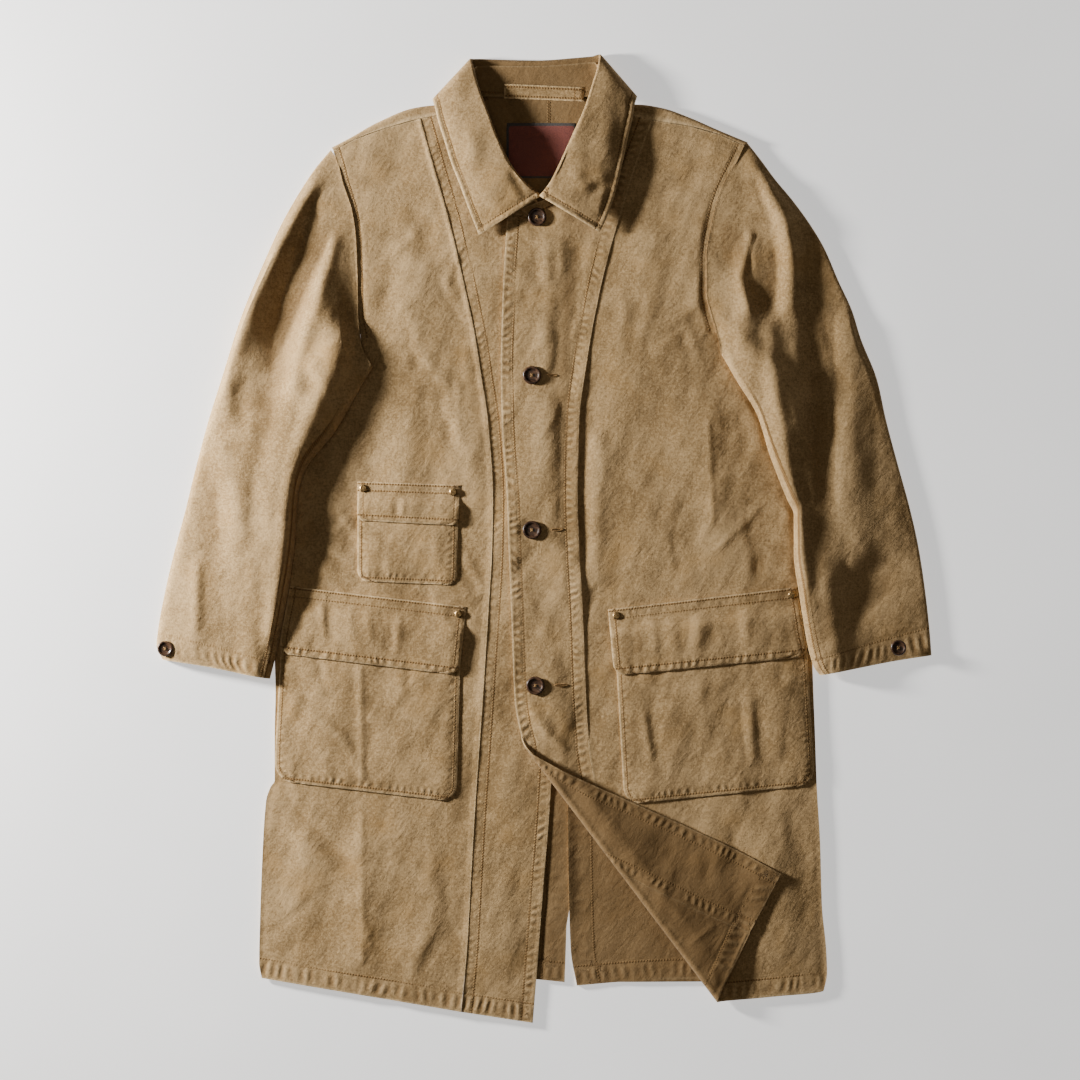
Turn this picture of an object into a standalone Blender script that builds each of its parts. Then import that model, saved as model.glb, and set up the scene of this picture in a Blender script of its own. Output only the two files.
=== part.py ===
"""Duster coat in cotton canvas, laid flat on its back and seen from above.

X runs across the coat, Y runs up towards the collar and Z points up from the floor.
Every size in the tables is in millimetres and measured on the coat as it lies. "Left" and
"right" are the sides as seen from above, so the right front laps over the left one.
"""
import math

import bmesh
import bpy
import numpy as np
from mathutils import Vector
from mathutils.bvhtree import BVHTree

MM = 0.001

# Cloth and clearances
CLOTH = 1.8
COLLAR_CLOTH = 2.4
TAPE = 1.2
LABEL = 0.8
GAP = 0.3
SEAM_HALF_GAP = 0.25
ARMHOLE_HALF_GAP = 0.7
LAP_SPARE = 0.2
NECK_CORNER_Y = 370.0
ROW_REACH = 30.0

# Heights of the layers
BACK_TOP = CLOTH
FRONT_UNDER = BACK_TOP + GAP
FRONT_SLACK = 1.0
SLACK_REACH = 45.0
SHOULDER_RADIUS = 4.0
SHOULDER_RISE = 2 * SHOULDER_RADIUS - CLOTH - FRONT_UNDER
SHOULDER_REACH = 70.0
SHOULDER_LEAN = 0.6
SHOULDER_BEND_STEPS = 5
YOKE_ROWS = 3
NECK_COLUMNS = 4
ARMHOLE_RISE = 2.6
ARMHOLE_REACH = 45.0
ARMHOLE_RISE_FROM_Y = 235.0
ARMHOLE_RISE_OVER = 60.0
FOLD_SIDE_FADE = 12.0
SHOULDER_BOW_REACH = 50.0

# Where the right front lies on the left one: level past the edge, then down to nothing
LAP_LEVEL = 4.0
LAP_FADE = 30.0

# The back rises at the neck to lie over the collar
NECK_LIFT = 3.5
NECK_LIFT_X = -9.0
NECK_LIFT_HALF_WIDTH = 74.0
NECK_LIFT_SIDE_FADE = 16.0
NECK_LIFT_FROM_Y = 462.0
NECK_LIFT_OVER = 22.0

# Sleeve tubes
SLEEVE_EDGE_RADIUS = 3.2
SLEEVE_CLEARANCE = 0.6
SLEEVE_COVER_START = 50.0
SLEEVE_COVER_FULL = 20.0
SLEEVE_CROWN_HEAD = 1.6
SLEEVE_CROWN_ARM = 15.0
SLEEVE_CROWN_CUFF = 8.5
SLEEVE_LEAVES_BODY = 4.0
SLEEVE_LEAVES_OVER = 24.0
SLEEVE_STATIONS = 14
SLEEVE_LAST_STATION = 0.97
SLEEVE_TOP_STEPS = 9
EDGE_STEPS = 3
RAIL_POINTS = 200
LINE_POINTS = 100
CREASE_EDGE_FADE = 9.0
LEAST_CROWN = 0.25
# Shares of the sleeve's length
HEAD_CURVE_END = 0.45
CUFF_CURVE_START = 0.8
CREASE_START = 0.08
CROWN_GROWS_BY = 0.16
CROWN_DROPS_FROM = 0.35
CROWN_DROPS_OVER = 0.6
CROWN_ROUNDNESS = 0.85

# Turned-back corner: the cloth bends round a cylinder on this line
FOLD_START = (-24.0, -238.0)
FOLD_END = (200.0, -535.0)
FOLD_INNER_RADIUS = 4.0
FOLD_SETTLE = 80.0
FOLD_REST = 0.5

# Buttons and rivets
FRONT_BUTTON_RADIUS = 10.7
CUFF_BUTTON_RADIUS = 9.0
BUTTON_THICKNESS = 3.6
BUTTON_SIDES = 15
BUTTON_HOLES = 4
BUTTON_HOLE_RADIUS = 1.0
BUTTON_HOLE_CIRCLE = 2.3
BUTTON_HOLE_SIDES = 6
RIVET_RADIUS = 4.6
RIVET_HEIGHT = 1.6
RIVET_SIDES = 12

# Outlines, columns: y, x
LEFT_SIDE = (
    (-508, -327), (-490, -330), (-443, -329), (-362, -326), (-303, -322), (-287, -317),
    (-279, -312), (-224, -312), (-175, -311), (-129, -312), (-70, -302), (-6, -295),
    (46, -290), (76, -286), (139, -269), (190, -250), (214, -228), (232, -212),
)
LEFT_ARMHOLE = (
    (232, -212), (260, -215), (313, -216), (353, -218), (380, -222), (414, -232),
    (438, -238), (451, -242),
)
LEFT_SEAM = (
    (-547, -96), (-474, -89), (-386, -84), (-316, -80), (-188, -71), (-79, -64), (-12, -60),
    (46, -59), (139, -65), (192, -73), (243, -81), (280, -89), (338, -102), (392, -116),
    (433, -128), (487, -143),
)
LEFT_FRONT_EDGE = (
    (-560, -13), (-485, -7), (-393, 0), (-320, 6), (-190, 13), (-79, 15), (46, 15),
    (192, 14), (378, 15), (390, -5), (403, -26), (423, -45), (449, -63), (470, -77),
    (486, -90), (494, -99),
)
RIGHT_SIDE = (
    (-523, 324), (-502, 328), (-476, 327), (-424, 322), (-354, 320), (-285, 316),
    (-227, 314), (-175, 312), (-120, 310), (-70, 304), (-6, 298), (46, 291), (100, 281),
    (139, 270), (190, 250), (217, 222), (241, 200),
)
RIGHT_ARMHOLE = (
    (241, 198.5), (260, 192.5), (287, 187.5), (327, 188), (366, 194), (398, 202), (422, 213),
    (441, 223), (456, 230),
)
RIGHT_SEAM = (
    (-552, 109), (-506, 104), (-459, 96), (-381, 82), (-306, 65), (-242, 53), (-188, 49),
    (-84, 45), (-12, 41), (46, 39), (139, 41), (202, 49), (280, 63), (338, 77), (388, 92),
    (425, 103), (463, 117), (485, 125),
)
RIGHT_FRONT_EDGE = (
    (-568, 34), (-523, 24), (-465, 14), (-383, 2), (-302, -10), (-238, -24), (-186, -34),
    (-84, -38), (-12, -41), (46, -43), (139, -49), (202, -50), (282, -48), (338, -45),
    (375, -42), (387, -16), (398, 13), (419, 34), (446, 51), (470, 63), (486, 74), (495, 82),
)
CENTRE_BACK_LEFT = (
    (-513, 24), (-453, 26), (-381, 27), (-315, 27), (-186, 23), (-76, 20), (40, 15),
    (133, 12), (190, 10), (260, 8), (336, 6), (394, 5), (510, 5),
)
CENTRE_BACK_RIGHT = (
    (-517, 38), (-476, 31), (-418, 29), (-360, 28), (-315, 27.6), (-186, 23.6), (-76, 20.6),
    (40, 15.6), (133, 12.6), (190, 10.6), (260, 8.6), (336, 6.6), (394, 5.6), (510, 5.6),
)

# Matching heights on the three edges of the left front, columns: side y, seam y, edge y
LEFT_ROWS = (
    (-508, -547, -560), (-443, -474, -485), (-362, -386, -393), (-303, -316, -320),
    (-240, -250, -254), (-175, -188, -190), (-120, -130, -132), (-70, -79, -79),
    (-6, -12, -12), (46, 46, 46), (92, 92, 92), (139, 139, 139), (190, 192, 192),
    (232, 243, 243), (278, 280, 280), (336, 338, 338), (362, 366, 372), (385, 388, 386),
    (400, 408, 403), (418, 426, 423), (430, 446, 449), (438, 461, 470), (445, 475, 486),
    (451, 487, 494),
)

# The right front above its fold, columns: edge y, seam y, outer x, outer y
RIGHT_ROWS = (
    (495, 485, 230, 456), (486, 472, 225, 446), (470, 455, 217, 431), (446, 438, 208, 411),
    (419, 420, 202, 397), (398, 404, 197, 378), (387, 388, 193, 362), (375, 370, 190, 345),
    (338, 338, 188, 318), (282, 285, 188.5, 283), (243, 243, 200, 241),
    (202, 202, 247, 193), (139, 139, 270, 139), (92, 92, 283, 92), (46, 46, 291, 46),
    (-12, -12, 298, -6), (-84, -84, 304, -70), (-135, -136, 310, -120),
    (-186, -188, 312, -175), (-204, -225, 314, -227), (-211, -262, 316, -285),
    (-216, -297, 320, -354), (-221, -330, 322, -424), (-223, -346, 327, -476),
    (-224, -354, 325, -522), (-225, -359, 270, -529), (-226, -364, 206, -535),
)
# The right front past its fold, with the hem as its outer edge
RIGHT_CORNER_ROWS = (
    (-232, -370, 203, -535.5), (-238, -375, 200, -536), (-244, -381, 197, -536.5),
    (-250, -386, 194, -537), (-256, -392, 191, -537.5), (-262, -398, 188, -538),
    (-300, -422, 175, -540), (-350, -450, 159, -543), (-410, -482, 143, -546),
    (-470, -511, 129, -548.5), (-520, -534, 118, -550.5), (-568, -551.5, 110, -551.8),
)

# Back halves, columns: side y, centre back y
BACK_LEFT_ROWS = (
    (-502, -513), (-443, -453), (-362, -381), (-303, -315), (-175, -186), (-70, -76),
    (46, 40), (139, 133), (190, 190), (232, 226), (278, 278), (336, 336), (360, 368),
    (380, 394), (397, 417), (414, 440),
)
BACK_RIGHT_ROWS = (
    (-516, -517), (-470, -476), (-418, -418), (-354, -360), (-285, -315), (-175, -186),
    (-70, -76), (46, 40), (139, 133), (190, 190), (241, 241), (283, 283), (336, 336),
    (366, 370), (385, 394), (402, 417), (420, 440),
)
BACK_HEM_RISE = 8.0

# Shoulders, columns: fold x, fold y, seam x, seam y, from the armhole to the neck
LEFT_SHOULDER = (
    (-246, 454, -242, 450.8), (-225, 465, -219, 463.3), (-193, 483, -182, 476.5),
    (-150, 500, -143, 487.3), (-125, 503, -121, 491), (-99, 503, -99, 494.3),
)
RIGHT_SHOULDER = (
    (236, 460, 229.5, 456.5), (200, 475, 205, 468), (168, 489, 168, 478.5),
    (136, 500, 125, 485.3), (107, 504, 104, 490), (83, 503, 82, 495.3),
)
# Back neck edge from the left shoulder to the right one, columns: x, y
BACK_NECK = (
    (-99, 498), (-86, 504), (-70, 508.5), (-45, 510), (5, 510), (45, 510), (60, 508.5),
    (72, 504), (83, 499),
)

# Large folds of the fronts, columns: x0, y0, x1, y1, half width, height
FRONT_FOLDS = (
    (-213, -338, -215, -494, 20, 3.0),
    (-290, -334, -236, -388, 18, 2.4),
    (-252, 62, -238, 12, 18, 2.4),
    (196, 175, 194, 20, 20, 2.6),
    (-150, 330, -190, 130, 48, 2.2),
    (150, 380, 120, 180, 50, 2.0),
    (-22, -188, 20, -222, 18, 1.8),
    (250, -330, 262, -500, 34, 2.0),
    (-150, -330, -140, -520, 40, 1.6),
)
# Large folds of the sleeves, same columns
SLEEVE_FOLDS_LEFT = (
    (-246, 345, -226, 270, 15, 4.5),
    (-226, 270, -236, 190, 17, 3.5),
    (-258, 390, -345, 160, 24, -4.5),
    (-300, 395, -372, 160, 26, 3.0),
    (-330, 60, -345, -90, 26, 2.5),
    (-398, -30, -404, -135, 14, 2.5),
    (-223, 231, -260, 162, 16, 5.5),
    (-260, 162, -288, 81, 15, 6.0),
    (-288, 81, -299, -1, 14, 6.0),
    (-299, -1, -313, -117, 13, 5.0),
)
SLEEVE_FOLDS_RIGHT = (
    (236, 446, 284, 359, 17, 5.0),
    (284, 359, 300, 165, 22, 5.0),
    (222, 350, 228, 285, 12, 3.5),
    (203, 380, 217, 250, 14, -3.0),
    (236, 225, 322, -10, 26, -4.5),
    (395, -20, 345, -105, 20, -3.5),
    (392, 60, 400, -100, 26, 2.0),
)

# Sleeve edges, columns: x, y, from the armhole to the cuff
LEFT_SLEEVE_OUTER = (
    (-250, 449), (-265, 430), (-286, 398), (-305, 364), (-326, 318), (-342, 281),
    (-353, 252), (-374, 185), (-389, 137), (-406, 73), (-415, 36), (-429, -17),
    (-439, -60), (-447, -103), (-449, -122), (-442, -139),
)
LEFT_SLEEVE_INNER = (
    (-198, 199), (-208, 183), (-242, 124), (-277, 78), (-285, 47), (-288, -1), (-298, -71),
    (-309, -129), (-317, -161),
)
LEFT_SLEEVE_HEAD = (
    (-250, 449), (-239, 438), (-233, 414), (-222, 380), (-218, 353), (-216, 313),
    (-215, 260), (-211, 226), (-198, 199),
)
LEFT_SLEEVE_CUFF = ((-442, -139), (-389, -147), (-335, -158), (-317, -161))
RIGHT_SLEEVE_OUTER = (
    (238, 459), (251, 440), (268, 417), (288, 393), (309, 364), (325, 337), (341, 300),
    (357, 265), (367, 233), (386, 185), (396, 140), (410, 87), (424, 36), (434, -9),
    (441, -54), (447, -107), (449, -134),
)
RIGHT_SLEEVE_INNER = (
    (206, 213), (222, 185), (247, 143), (261, 98), (281, 47), (289, 28), (289, -17),
    (295, -62), (303, -113), (312, -147), (319, -157),
)
RIGHT_SLEEVE_HEAD = (
    (238, 459), (224, 441), (213, 422), (202, 398), (194, 366), (188, 327), (188, 287),
    (194, 260), (201, 236), (206, 213),
)
RIGHT_SLEEVE_CUFF = ((449, -134), (404, -141), (351, -151), (319, -157))

# Collar stations from the left point round the neck to the right point,
# columns: roll x, y, z, outer edge x, y, z, all at the middle of the cloth
COLLAR_FALL = (
    (-5, 396, 14.8, -75, 352, 11.6), (-21, 408, 18, -86, 380, 12.2),
    (-39, 429, 21, -96, 408, 13), (-55, 460, 22, -107, 436, 13.6),
    (-67, 492, 21, -115, 462, 14), (-77, 519, 18.5, -122, 484, 13.8),
    (-84, 545, 14.5, -126, 501, 13), (-86, 554, 9.5, -128, 509, 8),
    (-84, 554, 6.5, -124, 511, 3), (-77, 554, 5.5, -104, 508.5, 2),
    (-66, 553.5, 5.3, -76, 509, 1.6), (-55, 553, 5.2, -60, 496, 1.6),
    (-9, 552, 5.2, -9, 489, 1.6), (36, 555, 5.2, 50, 495, 1.6),
    (47, 556, 5.3, 66, 509, 1.6), (57, 557, 5.5, 86, 508.5, 2),
    (64, 559, 6.5, 104, 512, 3), (66, 559, 9.5, 107, 512, 8),
    (65, 549, 14.5, 104, 502, 13), (58, 524, 18.5, 102, 488, 13.8),
    (49, 496, 21, 96, 463, 14.6), (36, 467, 22.5, 89, 430, 15),
    (22, 436, 22, 82, 401, 15), (9, 410, 20.5, 73, 374, 15), (-3, 395, 18.5, 64, 355, 14.4),
)
COLLAR_STAND = (
    (-13, 398, 12.6, -7, 390, 10.4), (-23, 409, 14.6, -24, 404, 10.2),
    (-41, 431, 17.5, -43, 425, 10), (-55, 461, 18.5, -61, 451, 10),
    (-66, 492, 17.5, -75, 476, 10), (-74, 518, 15, -88, 495, 10.4),
    (-80, 543, 10.5, -93, 504, 9), (-78, 547, 8.2, -88, 510, 7),
    (-71, 548, 7.4, -74, 513, 6), (-45, 548, 7.4, -45, 512, 5.8), (-9, 548, 7.4, -9, 512, 5.8),
    (30, 550, 7.4, 36, 512, 5.8), (52, 552, 7.4, 59, 513, 6), (59, 552, 8.2, 70, 510, 7),
    (62, 547, 10.5, 76, 505, 9), (56, 521, 15, 74, 496, 10.4), (48, 495, 17.5, 64, 475, 10),
    (35, 468, 18.5, 50, 448, 10), (21, 438, 18, 32, 421, 12), (8, 414, 17, 13, 403, 13),
    (1, 404, 15.8, 2, 396, 12.6),
)
COLLAR_BULGE = 2.6
COLLAR_BULGE_FROM_Z = 8.0
COLLAR_BULGE_OVER = 6.0
COLLAR_BACK_DIP = 0.5
COLLAR_BACK_Z = 7.0
COLLAR_DIP_OVER = 1.5
COLLAR_REACH = 18.0
# Middle of the stand's cloth behind the neck: low edge, its height, and the rise to the roll
STAND_BACK_Y = 512.0
STAND_BACK_Z = 5.8
STAND_BACK_RISE = 2.2
STAND_BACK_DEPTH = 36.0

# Patch pieces, corners as x, y: top left, top right, bottom right, bottom left
CHEST_POCKET = ((-216, 37), (-99, 32), (-101, -53), (-216, -48))
CHEST_FLAP = ((-216, 67), (-97, 63), (-99, 16), (-216, 22))
LEFT_POCKET = ((-303, -93), (-96, -117), (-101, -304), (-313, -279))
LEFT_FLAP = ((-300, -54), (-90, -78), (-98, -157), (-306, -132))
RIGHT_POCKET = ((82, -117), (303, -96), (314, -284), (93, -307))
RIGHT_FLAP = ((74, -81), (294, -55), (307, -135), (81, -158))
HANGER_LOOP = ((-46, 527), (46, 523), (46, 507), (-46, 510.5))
NECK_LABEL = ((-44, 482), (38, 482), (38, 418), (-44, 418))
POCKET_CORNER = 20.0
FLAP_CORNER = 14.0
CHEST_CORNER = 12.0
CHEST_FLAP_CORNER = 7.2
PATCH_ROW = 24.0
PATCH_COLUMNS = 8
SMALL_COLUMNS = 5
TAPE_COLUMNS = 3
PATCH_SIDE_GAP = 0.6
PATCH_SLEEVE_GAP = 1.0
# Rows inside a clipped corner, as shares of its height up from the bottom edge
CORNER_ROWS = (0.45, 0.12, 0.0)
CORNER_FULL = 0.82
LEFT_CUFF_Y = -163.0
RIGHT_CUFF_Y = -160.0
# Share of a flap's height where it starts to climb on the pocket and where it lies on it
FLAP_STEP = (0.19, 0.43)
CHEST_FLAP_STEP = (0.3, 0.58)

FRONT_BUTTONS = ((-8, 373), (-14, 190), (-14, 11), (-10, -169))
CUFF_BUTTON_LEFT = (-437.5, -126)
CUFF_BUTTON_RIGHT = (409, -125)
CHEST_RIVETS = ((-209, 59), (-105, 55))
LEFT_RIVETS = ((-99, -86),)
RIGHT_RIVETS = ((84, -88), (287, -64))

# Materials, columns: red, green, blue, roughness, metallic
FINISHES = {
    "canvas": (0.335, 0.215, 0.112, 0.9, 0.0),
    "horn": (0.075, 0.032, 0.014, 0.38, 0.0),
    "brass": (0.42, 0.27, 0.11, 0.42, 1.0),
    "label_cloth": (0.15, 0.035, 0.028, 0.85, 0.0),
}


def clear_scene():
    """Remove every object, so that the file holds the coat alone."""
    for old in list(bpy.data.objects):
        bpy.data.objects.remove(old, do_unlink=True)


def finish(name):
    """The Principled material of one finish, made once."""
    material = bpy.data.materials.get(name)
    if material is None:
        red, green, blue, roughness, metallic = FINISHES[name]
        material = bpy.data.materials.new(name)
        material.use_nodes = True
        shader = material.node_tree.nodes["Principled BSDF"]
        shader.inputs["Base Color"].default_value = (red, green, blue, 1.0)
        shader.inputs["Roughness"].default_value = roughness
        shader.inputs["Metallic"].default_value = metallic
    return material


def ease(t):
    """Smooth step from 0 to 1 with level ends."""
    t = np.clip(t, 0.0, 1.0)
    return t * t * (3.0 - 2.0 * t)


def smooth(table, at):
    """Monotone cubic through the rows of a table (first column ascending), no overshoot."""
    rows = np.asarray(table, dtype=float)
    x, y = rows[:, 0], rows[:, 1]
    at = np.clip(np.asarray(at, dtype=float), x[0], x[-1])
    step = np.diff(x)
    slope = np.diff(y) / step
    inner = np.where(slope[:-1] * slope[1:] > 0,
                     2 * slope[:-1] * slope[1:] / (slope[:-1] + slope[1:] + 1e-12), 0.0)
    tangent = np.concatenate(([slope[0]], inner, [slope[-1]]))
    k = np.clip(np.searchsorted(x, at, side="right") - 1, 0, len(step) - 1)
    t = (at - x[k]) / step[k]
    keep = y[k] * (1 + 2 * t) * (1 - t) ** 2 + y[k + 1] * t * t * (3 - 2 * t)
    lean = step[k] * (tangent[k] * t * (1 - t) ** 2 - tangent[k + 1] * t * t * (1 - t))
    return keep + lean


def along(points, count):
    """Evenly spaced points on a smooth curve through the given ones."""
    points = np.asarray(points, dtype=float)
    run = np.concatenate(([0.0], np.cumsum(np.linalg.norm(np.diff(points, axis=0), axis=1))))
    at = np.linspace(0.0, run[-1], count)
    return np.stack([smooth(np.column_stack((run, column)), at) for column in points.T], axis=1)


def refine(table, reach):
    """Rows between the rows of a table, so that no value moves further than `reach` in one."""
    rows = np.asarray(table, dtype=float)
    index = np.arange(len(rows), dtype=float)
    splits = np.ceil(np.abs(np.diff(rows, axis=0)).max(axis=1) / reach).astype(int)
    at = [np.linspace(k, k + 1, count, endpoint=False) for k, count in enumerate(splits)]
    at = np.concatenate(at + [[len(rows) - 1.0]])
    return np.stack([smooth(np.column_stack((index, column)), at) for column in rows.T], axis=1)


def rule(first, last, columns):
    """Grid of points on straight rows from one rail to the other."""
    share = np.linspace(0.0, 1.0, columns + 1)[None, :, None]
    return first[:, None, :] * (1 - share) + last[:, None, :] * share


def grid_faces(rows, columns, offset=0):
    """Quads of a grid of points, row by row."""
    faces = []
    for i in range(rows - 1):
        for j in range(columns - 1):
            a = offset + i * columns + j
            faces.append((a, a + 1, a + columns + 1, a + columns))
    return faces


def weld(grids):
    """Join grids that share border points into one list of points and faces."""
    points = []
    faces = []
    known = {}
    for grid in grids:
        rows, columns = grid.shape[:2]
        index = []
        for point in grid.reshape(-1, grid.shape[2]):
            key = tuple(np.round(point, 3))
            if key not in known:
                known[key] = len(points)
                points.append(point)
            index.append(known[key])
        for face in grid_faces(rows, columns):
            corners = []
            for corner in face:
                if index[corner] not in corners:
                    corners.append(index[corner])
            if len(corners) > 2:
                faces.append(tuple(corners))
    return np.array(points), faces


def add_object(name, points, faces, material):
    """Mesh object from points in millimetres, faces turned outwards and in triangles."""
    mesh = bpy.data.meshes.new(name)
    mesh.from_pydata((np.asarray(points) * MM).tolist(), [], faces)
    shape = bmesh.new()
    shape.from_mesh(mesh)
    bmesh.ops.triangulate(shape, faces=shape.faces[:])
    bmesh.ops.recalc_face_normals(shape, faces=shape.faces[:])
    shape.to_mesh(mesh)
    shape.free()
    mesh.materials.append(finish(material))
    mesh.shade_smooth()
    mesh.set_sharp_from_angle(angle=math.radians(40))
    thing = bpy.data.objects.new(name, mesh)
    bpy.context.scene.collection.objects.link(thing)
    return thing


def wall(name, lower, upper, faces, material="canvas"):
    """Closed solid between two copies of a surface, joined round every border."""
    count = len(lower)
    borders = {}
    for face in faces:
        for a, b in zip(face, face[1:] + face[:1]):
            if (b, a) in borders:
                del borders[(b, a)]
            else:
                borders[(a, b)] = True
    skin = [tuple(reversed(face)) for face in faces]
    skin += [tuple(corner + count for corner in face) for face in faces]
    skin += [(a, b, b + count, a + count) for a, b in borders]
    return add_object(name, np.vstack((lower, upper)), skin, material)


def relief(folds, x, y):
    """Soft ridges and valleys, each fading to nothing at its ends."""
    height = np.zeros_like(x)
    for x0, y0, x1, y1, half_width, rise in folds:
        dx, dy = x1 - x0, y1 - y0
        length = math.hypot(dx, dy)
        run = ((x - x0) * dx + (y - y0) * dy) / length
        off = ((x - x0) * dy - (y - y0) * dx) / length
        reach = 1.2 * half_width
        fade = ease((run + reach) / (2 * reach)) * ease((length + reach - run) / (2 * reach))
        height += rise * np.exp(-((off / half_width) ** 2)) * fade
    return height


def side_distance(x, y):
    """How far a point lies inside the body's outer edges, measured across."""
    left = np.where(y < LEFT_SIDE[-1][0], smooth(LEFT_SIDE, y), smooth(LEFT_ARMHOLE, y))
    right = np.where(y < RIGHT_SIDE[-1][0], smooth(RIGHT_SIDE, y), smooth(RIGHT_ARMHOLE, y))
    return np.minimum(x - left, right - x)


def shoulder_line(x):
    """Height of the shoulder seam above the hem at each x."""
    left = sorted((row[2], row[3]) for row in LEFT_SHOULDER)
    right = sorted((row[2], row[3]) for row in RIGHT_SHOULDER)
    middle = LEFT_SHOULDER[-1][2] * 0.5 + RIGHT_SHOULDER[-1][2] * 0.5
    left_y = np.interp(x, *np.array(left).T)
    right_y = np.interp(x, *np.array(right).T)
    return np.where(x < middle, left_y, right_y)


def front_under(x, y):
    """Underside of the fronts above the floor, before one front laps over the other."""
    inside = np.clip(side_distance(x, y), 0.0, None)
    low = FRONT_SLACK * ease(inside / SLACK_REACH)
    shoulder = 1.0 - ease((shoulder_line(x) - y) / SHOULDER_REACH)
    near_hole = 1.0 - ease(inside / ARMHOLE_REACH)
    above_armpit = ease((y - ARMHOLE_RISE_FROM_Y) / ARMHOLE_RISE_OVER)
    rise = np.maximum(SHOULDER_RISE * shoulder, ARMHOLE_RISE * near_hole * above_armpit)
    folds = relief(FRONT_FOLDS, x, y) * ease(inside / FOLD_SIDE_FADE)
    return FRONT_UNDER + np.maximum(low * (1 - shoulder) + rise + folds, 0.0)


def lap(x, y):
    """Extra height where the right front lies on the left one."""
    edge = smooth(LEFT_FRONT_EDGE, np.minimum(y, NECK_CORNER_Y))
    return (CLOTH + GAP + LAP_SPARE) * (1.0 - ease((x - edge - LAP_LEVEL) / LAP_FADE))


def right_under(x, y):
    """Underside of the right front."""
    return front_under(x, y) + lap(x, y)


def left_top(x, y):
    """Upper face of the left front."""
    return front_under(x, y) + CLOTH


def right_top(x, y):
    """Upper face of the right front."""
    return right_under(x, y) + CLOTH


def turn_back(x, y, depth):
    """Points of the right front, bent back over the fold line.

    Past the line the cloth follows a half circle of the fold's radius, and then lies
    mirrored on the front, sinking to its rest height with distance.
    """
    fold = np.array(FOLD_END) - np.array(FOLD_START)
    fold = fold / np.linalg.norm(fold)
    away = np.array((fold[1], -fold[0]))
    if away[0] > 0:
        away = -away
    outer = FOLD_INNER_RADIUS + CLOTH
    middle = FOLD_INNER_RADIUS + CLOTH / 2
    past = (x - FOLD_START[0]) * away[0] + (y - FOLD_START[1]) * away[1] + outer
    turned = past > 0
    foot_x = x - past * away[0]
    foot_y = y - past * away[1]
    angle = np.clip(past / middle, 0.0, math.pi)
    beyond = np.clip(past - math.pi * middle, 0.0, None)
    radius = outer - depth
    reach = radius * np.sin(angle) - beyond
    flat = np.stack((x, y, right_under(x, y) + depth), axis=-1)
    new_x = foot_x + reach * away[0]
    new_y = foot_y + reach * away[1]
    bend_z = right_under(foot_x, foot_y) + outer - radius * np.cos(angle)
    settle = np.exp(-beyond / FOLD_SETTLE)
    hollow = FOLD_REST + (2 * FOLD_INNER_RADIUS - FOLD_REST) * settle
    rest_z = right_top(new_x, new_y) + hollow + CLOTH - depth
    new_z = np.where(beyond > 0, rest_z, bend_z)
    bent = np.stack((new_x, new_y, new_z), axis=-1)
    return np.where(turned[..., None], bent, flat)


def meet_shoulder(grid, heights, top):
    """Bow the rows next to the shoulder, so that the top row follows the shoulder seam."""
    bow = shoulder_line(grid[top, :, 0]) - GAP - LAP_SPARE - grid[top, :, 1]
    near = ease((heights - heights[top] + SHOULDER_BOW_REACH) / SHOULDER_BOW_REACH)
    grid[..., 1] += near[:, None] * bow[None, :]
    return grid


def make_left_front():
    """Side and centre panel of the left front."""
    rows = refine(LEFT_ROWS, ROW_REACH)
    side_y, seam_y, edge_y = rows.T
    armpit = LEFT_SIDE[-1][0]
    hole = smooth(LEFT_ARMHOLE, side_y) + ARMHOLE_HALF_GAP
    side_x = np.where(side_y < armpit, smooth(LEFT_SIDE, side_y), hole)
    seam_x = smooth(LEFT_SEAM, seam_y)
    edge_x = smooth(LEFT_FRONT_EDGE, edge_y)
    side = np.column_stack((side_x, side_y))
    seam_side = np.column_stack((seam_x - SEAM_HALF_GAP, seam_y))
    seam_centre = np.column_stack((seam_x + SEAM_HALF_GAP, seam_y))
    edge = np.column_stack((edge_x, edge_y))
    for name, first, last, columns in (("front_side_left", side, seam_side, 8),
                                       ("front_centre_left", seam_centre, edge, 4)):
        points, faces = weld([meet_shoulder(rule(first, last, columns), seam_y, -1)])
        x, y = points.T
        lower = np.column_stack((x, y, front_under(x, y)))
        wall(name, lower, lower + (0, 0, CLOTH), faces)


def right_rails():
    """Edge, seam and outer rail of the right front, from the shoulder to the hem's corner."""
    above = refine(RIGHT_ROWS, ROW_REACH)
    corner = np.asarray(RIGHT_CORNER_ROWS, dtype=float)
    rows = np.vstack((above, corner))
    edge_y, seam_y, outer_x, outer_y = rows.T
    edge = np.column_stack((smooth(RIGHT_FRONT_EDGE, edge_y), edge_y))
    seam = np.column_stack((smooth(RIGHT_SEAM, seam_y), seam_y))
    upright = outer_y > RIGHT_SIDE[-1][0]
    hole = smooth(RIGHT_ARMHOLE, outer_y) - ARMHOLE_HALF_GAP
    side = smooth(RIGHT_SIDE, outer_y)
    on_side = outer_y > RIGHT_SIDE[0][0] + 0.5
    outer_x = np.where(upright, hole, np.where(on_side, side, outer_x))
    return edge, seam, np.column_stack((outer_x, outer_y))


def make_right_front():
    """Centre and side panel of the right front, with the lower corner turned back."""
    edge, seam, outer = right_rails()
    half = np.array((SEAM_HALF_GAP, 0.0))
    for name, first, last, columns in (("front_centre_right", edge, seam - half, 5),
                                       ("front_side_right", seam + half, outer, 7)):
        points, faces = weld([meet_shoulder(rule(first, last, columns), seam[:, 1], 0)])
        x, y = points.T
        wall(name, turn_back(x, y, 0.0), turn_back(x, y, CLOTH), faces)


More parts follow.
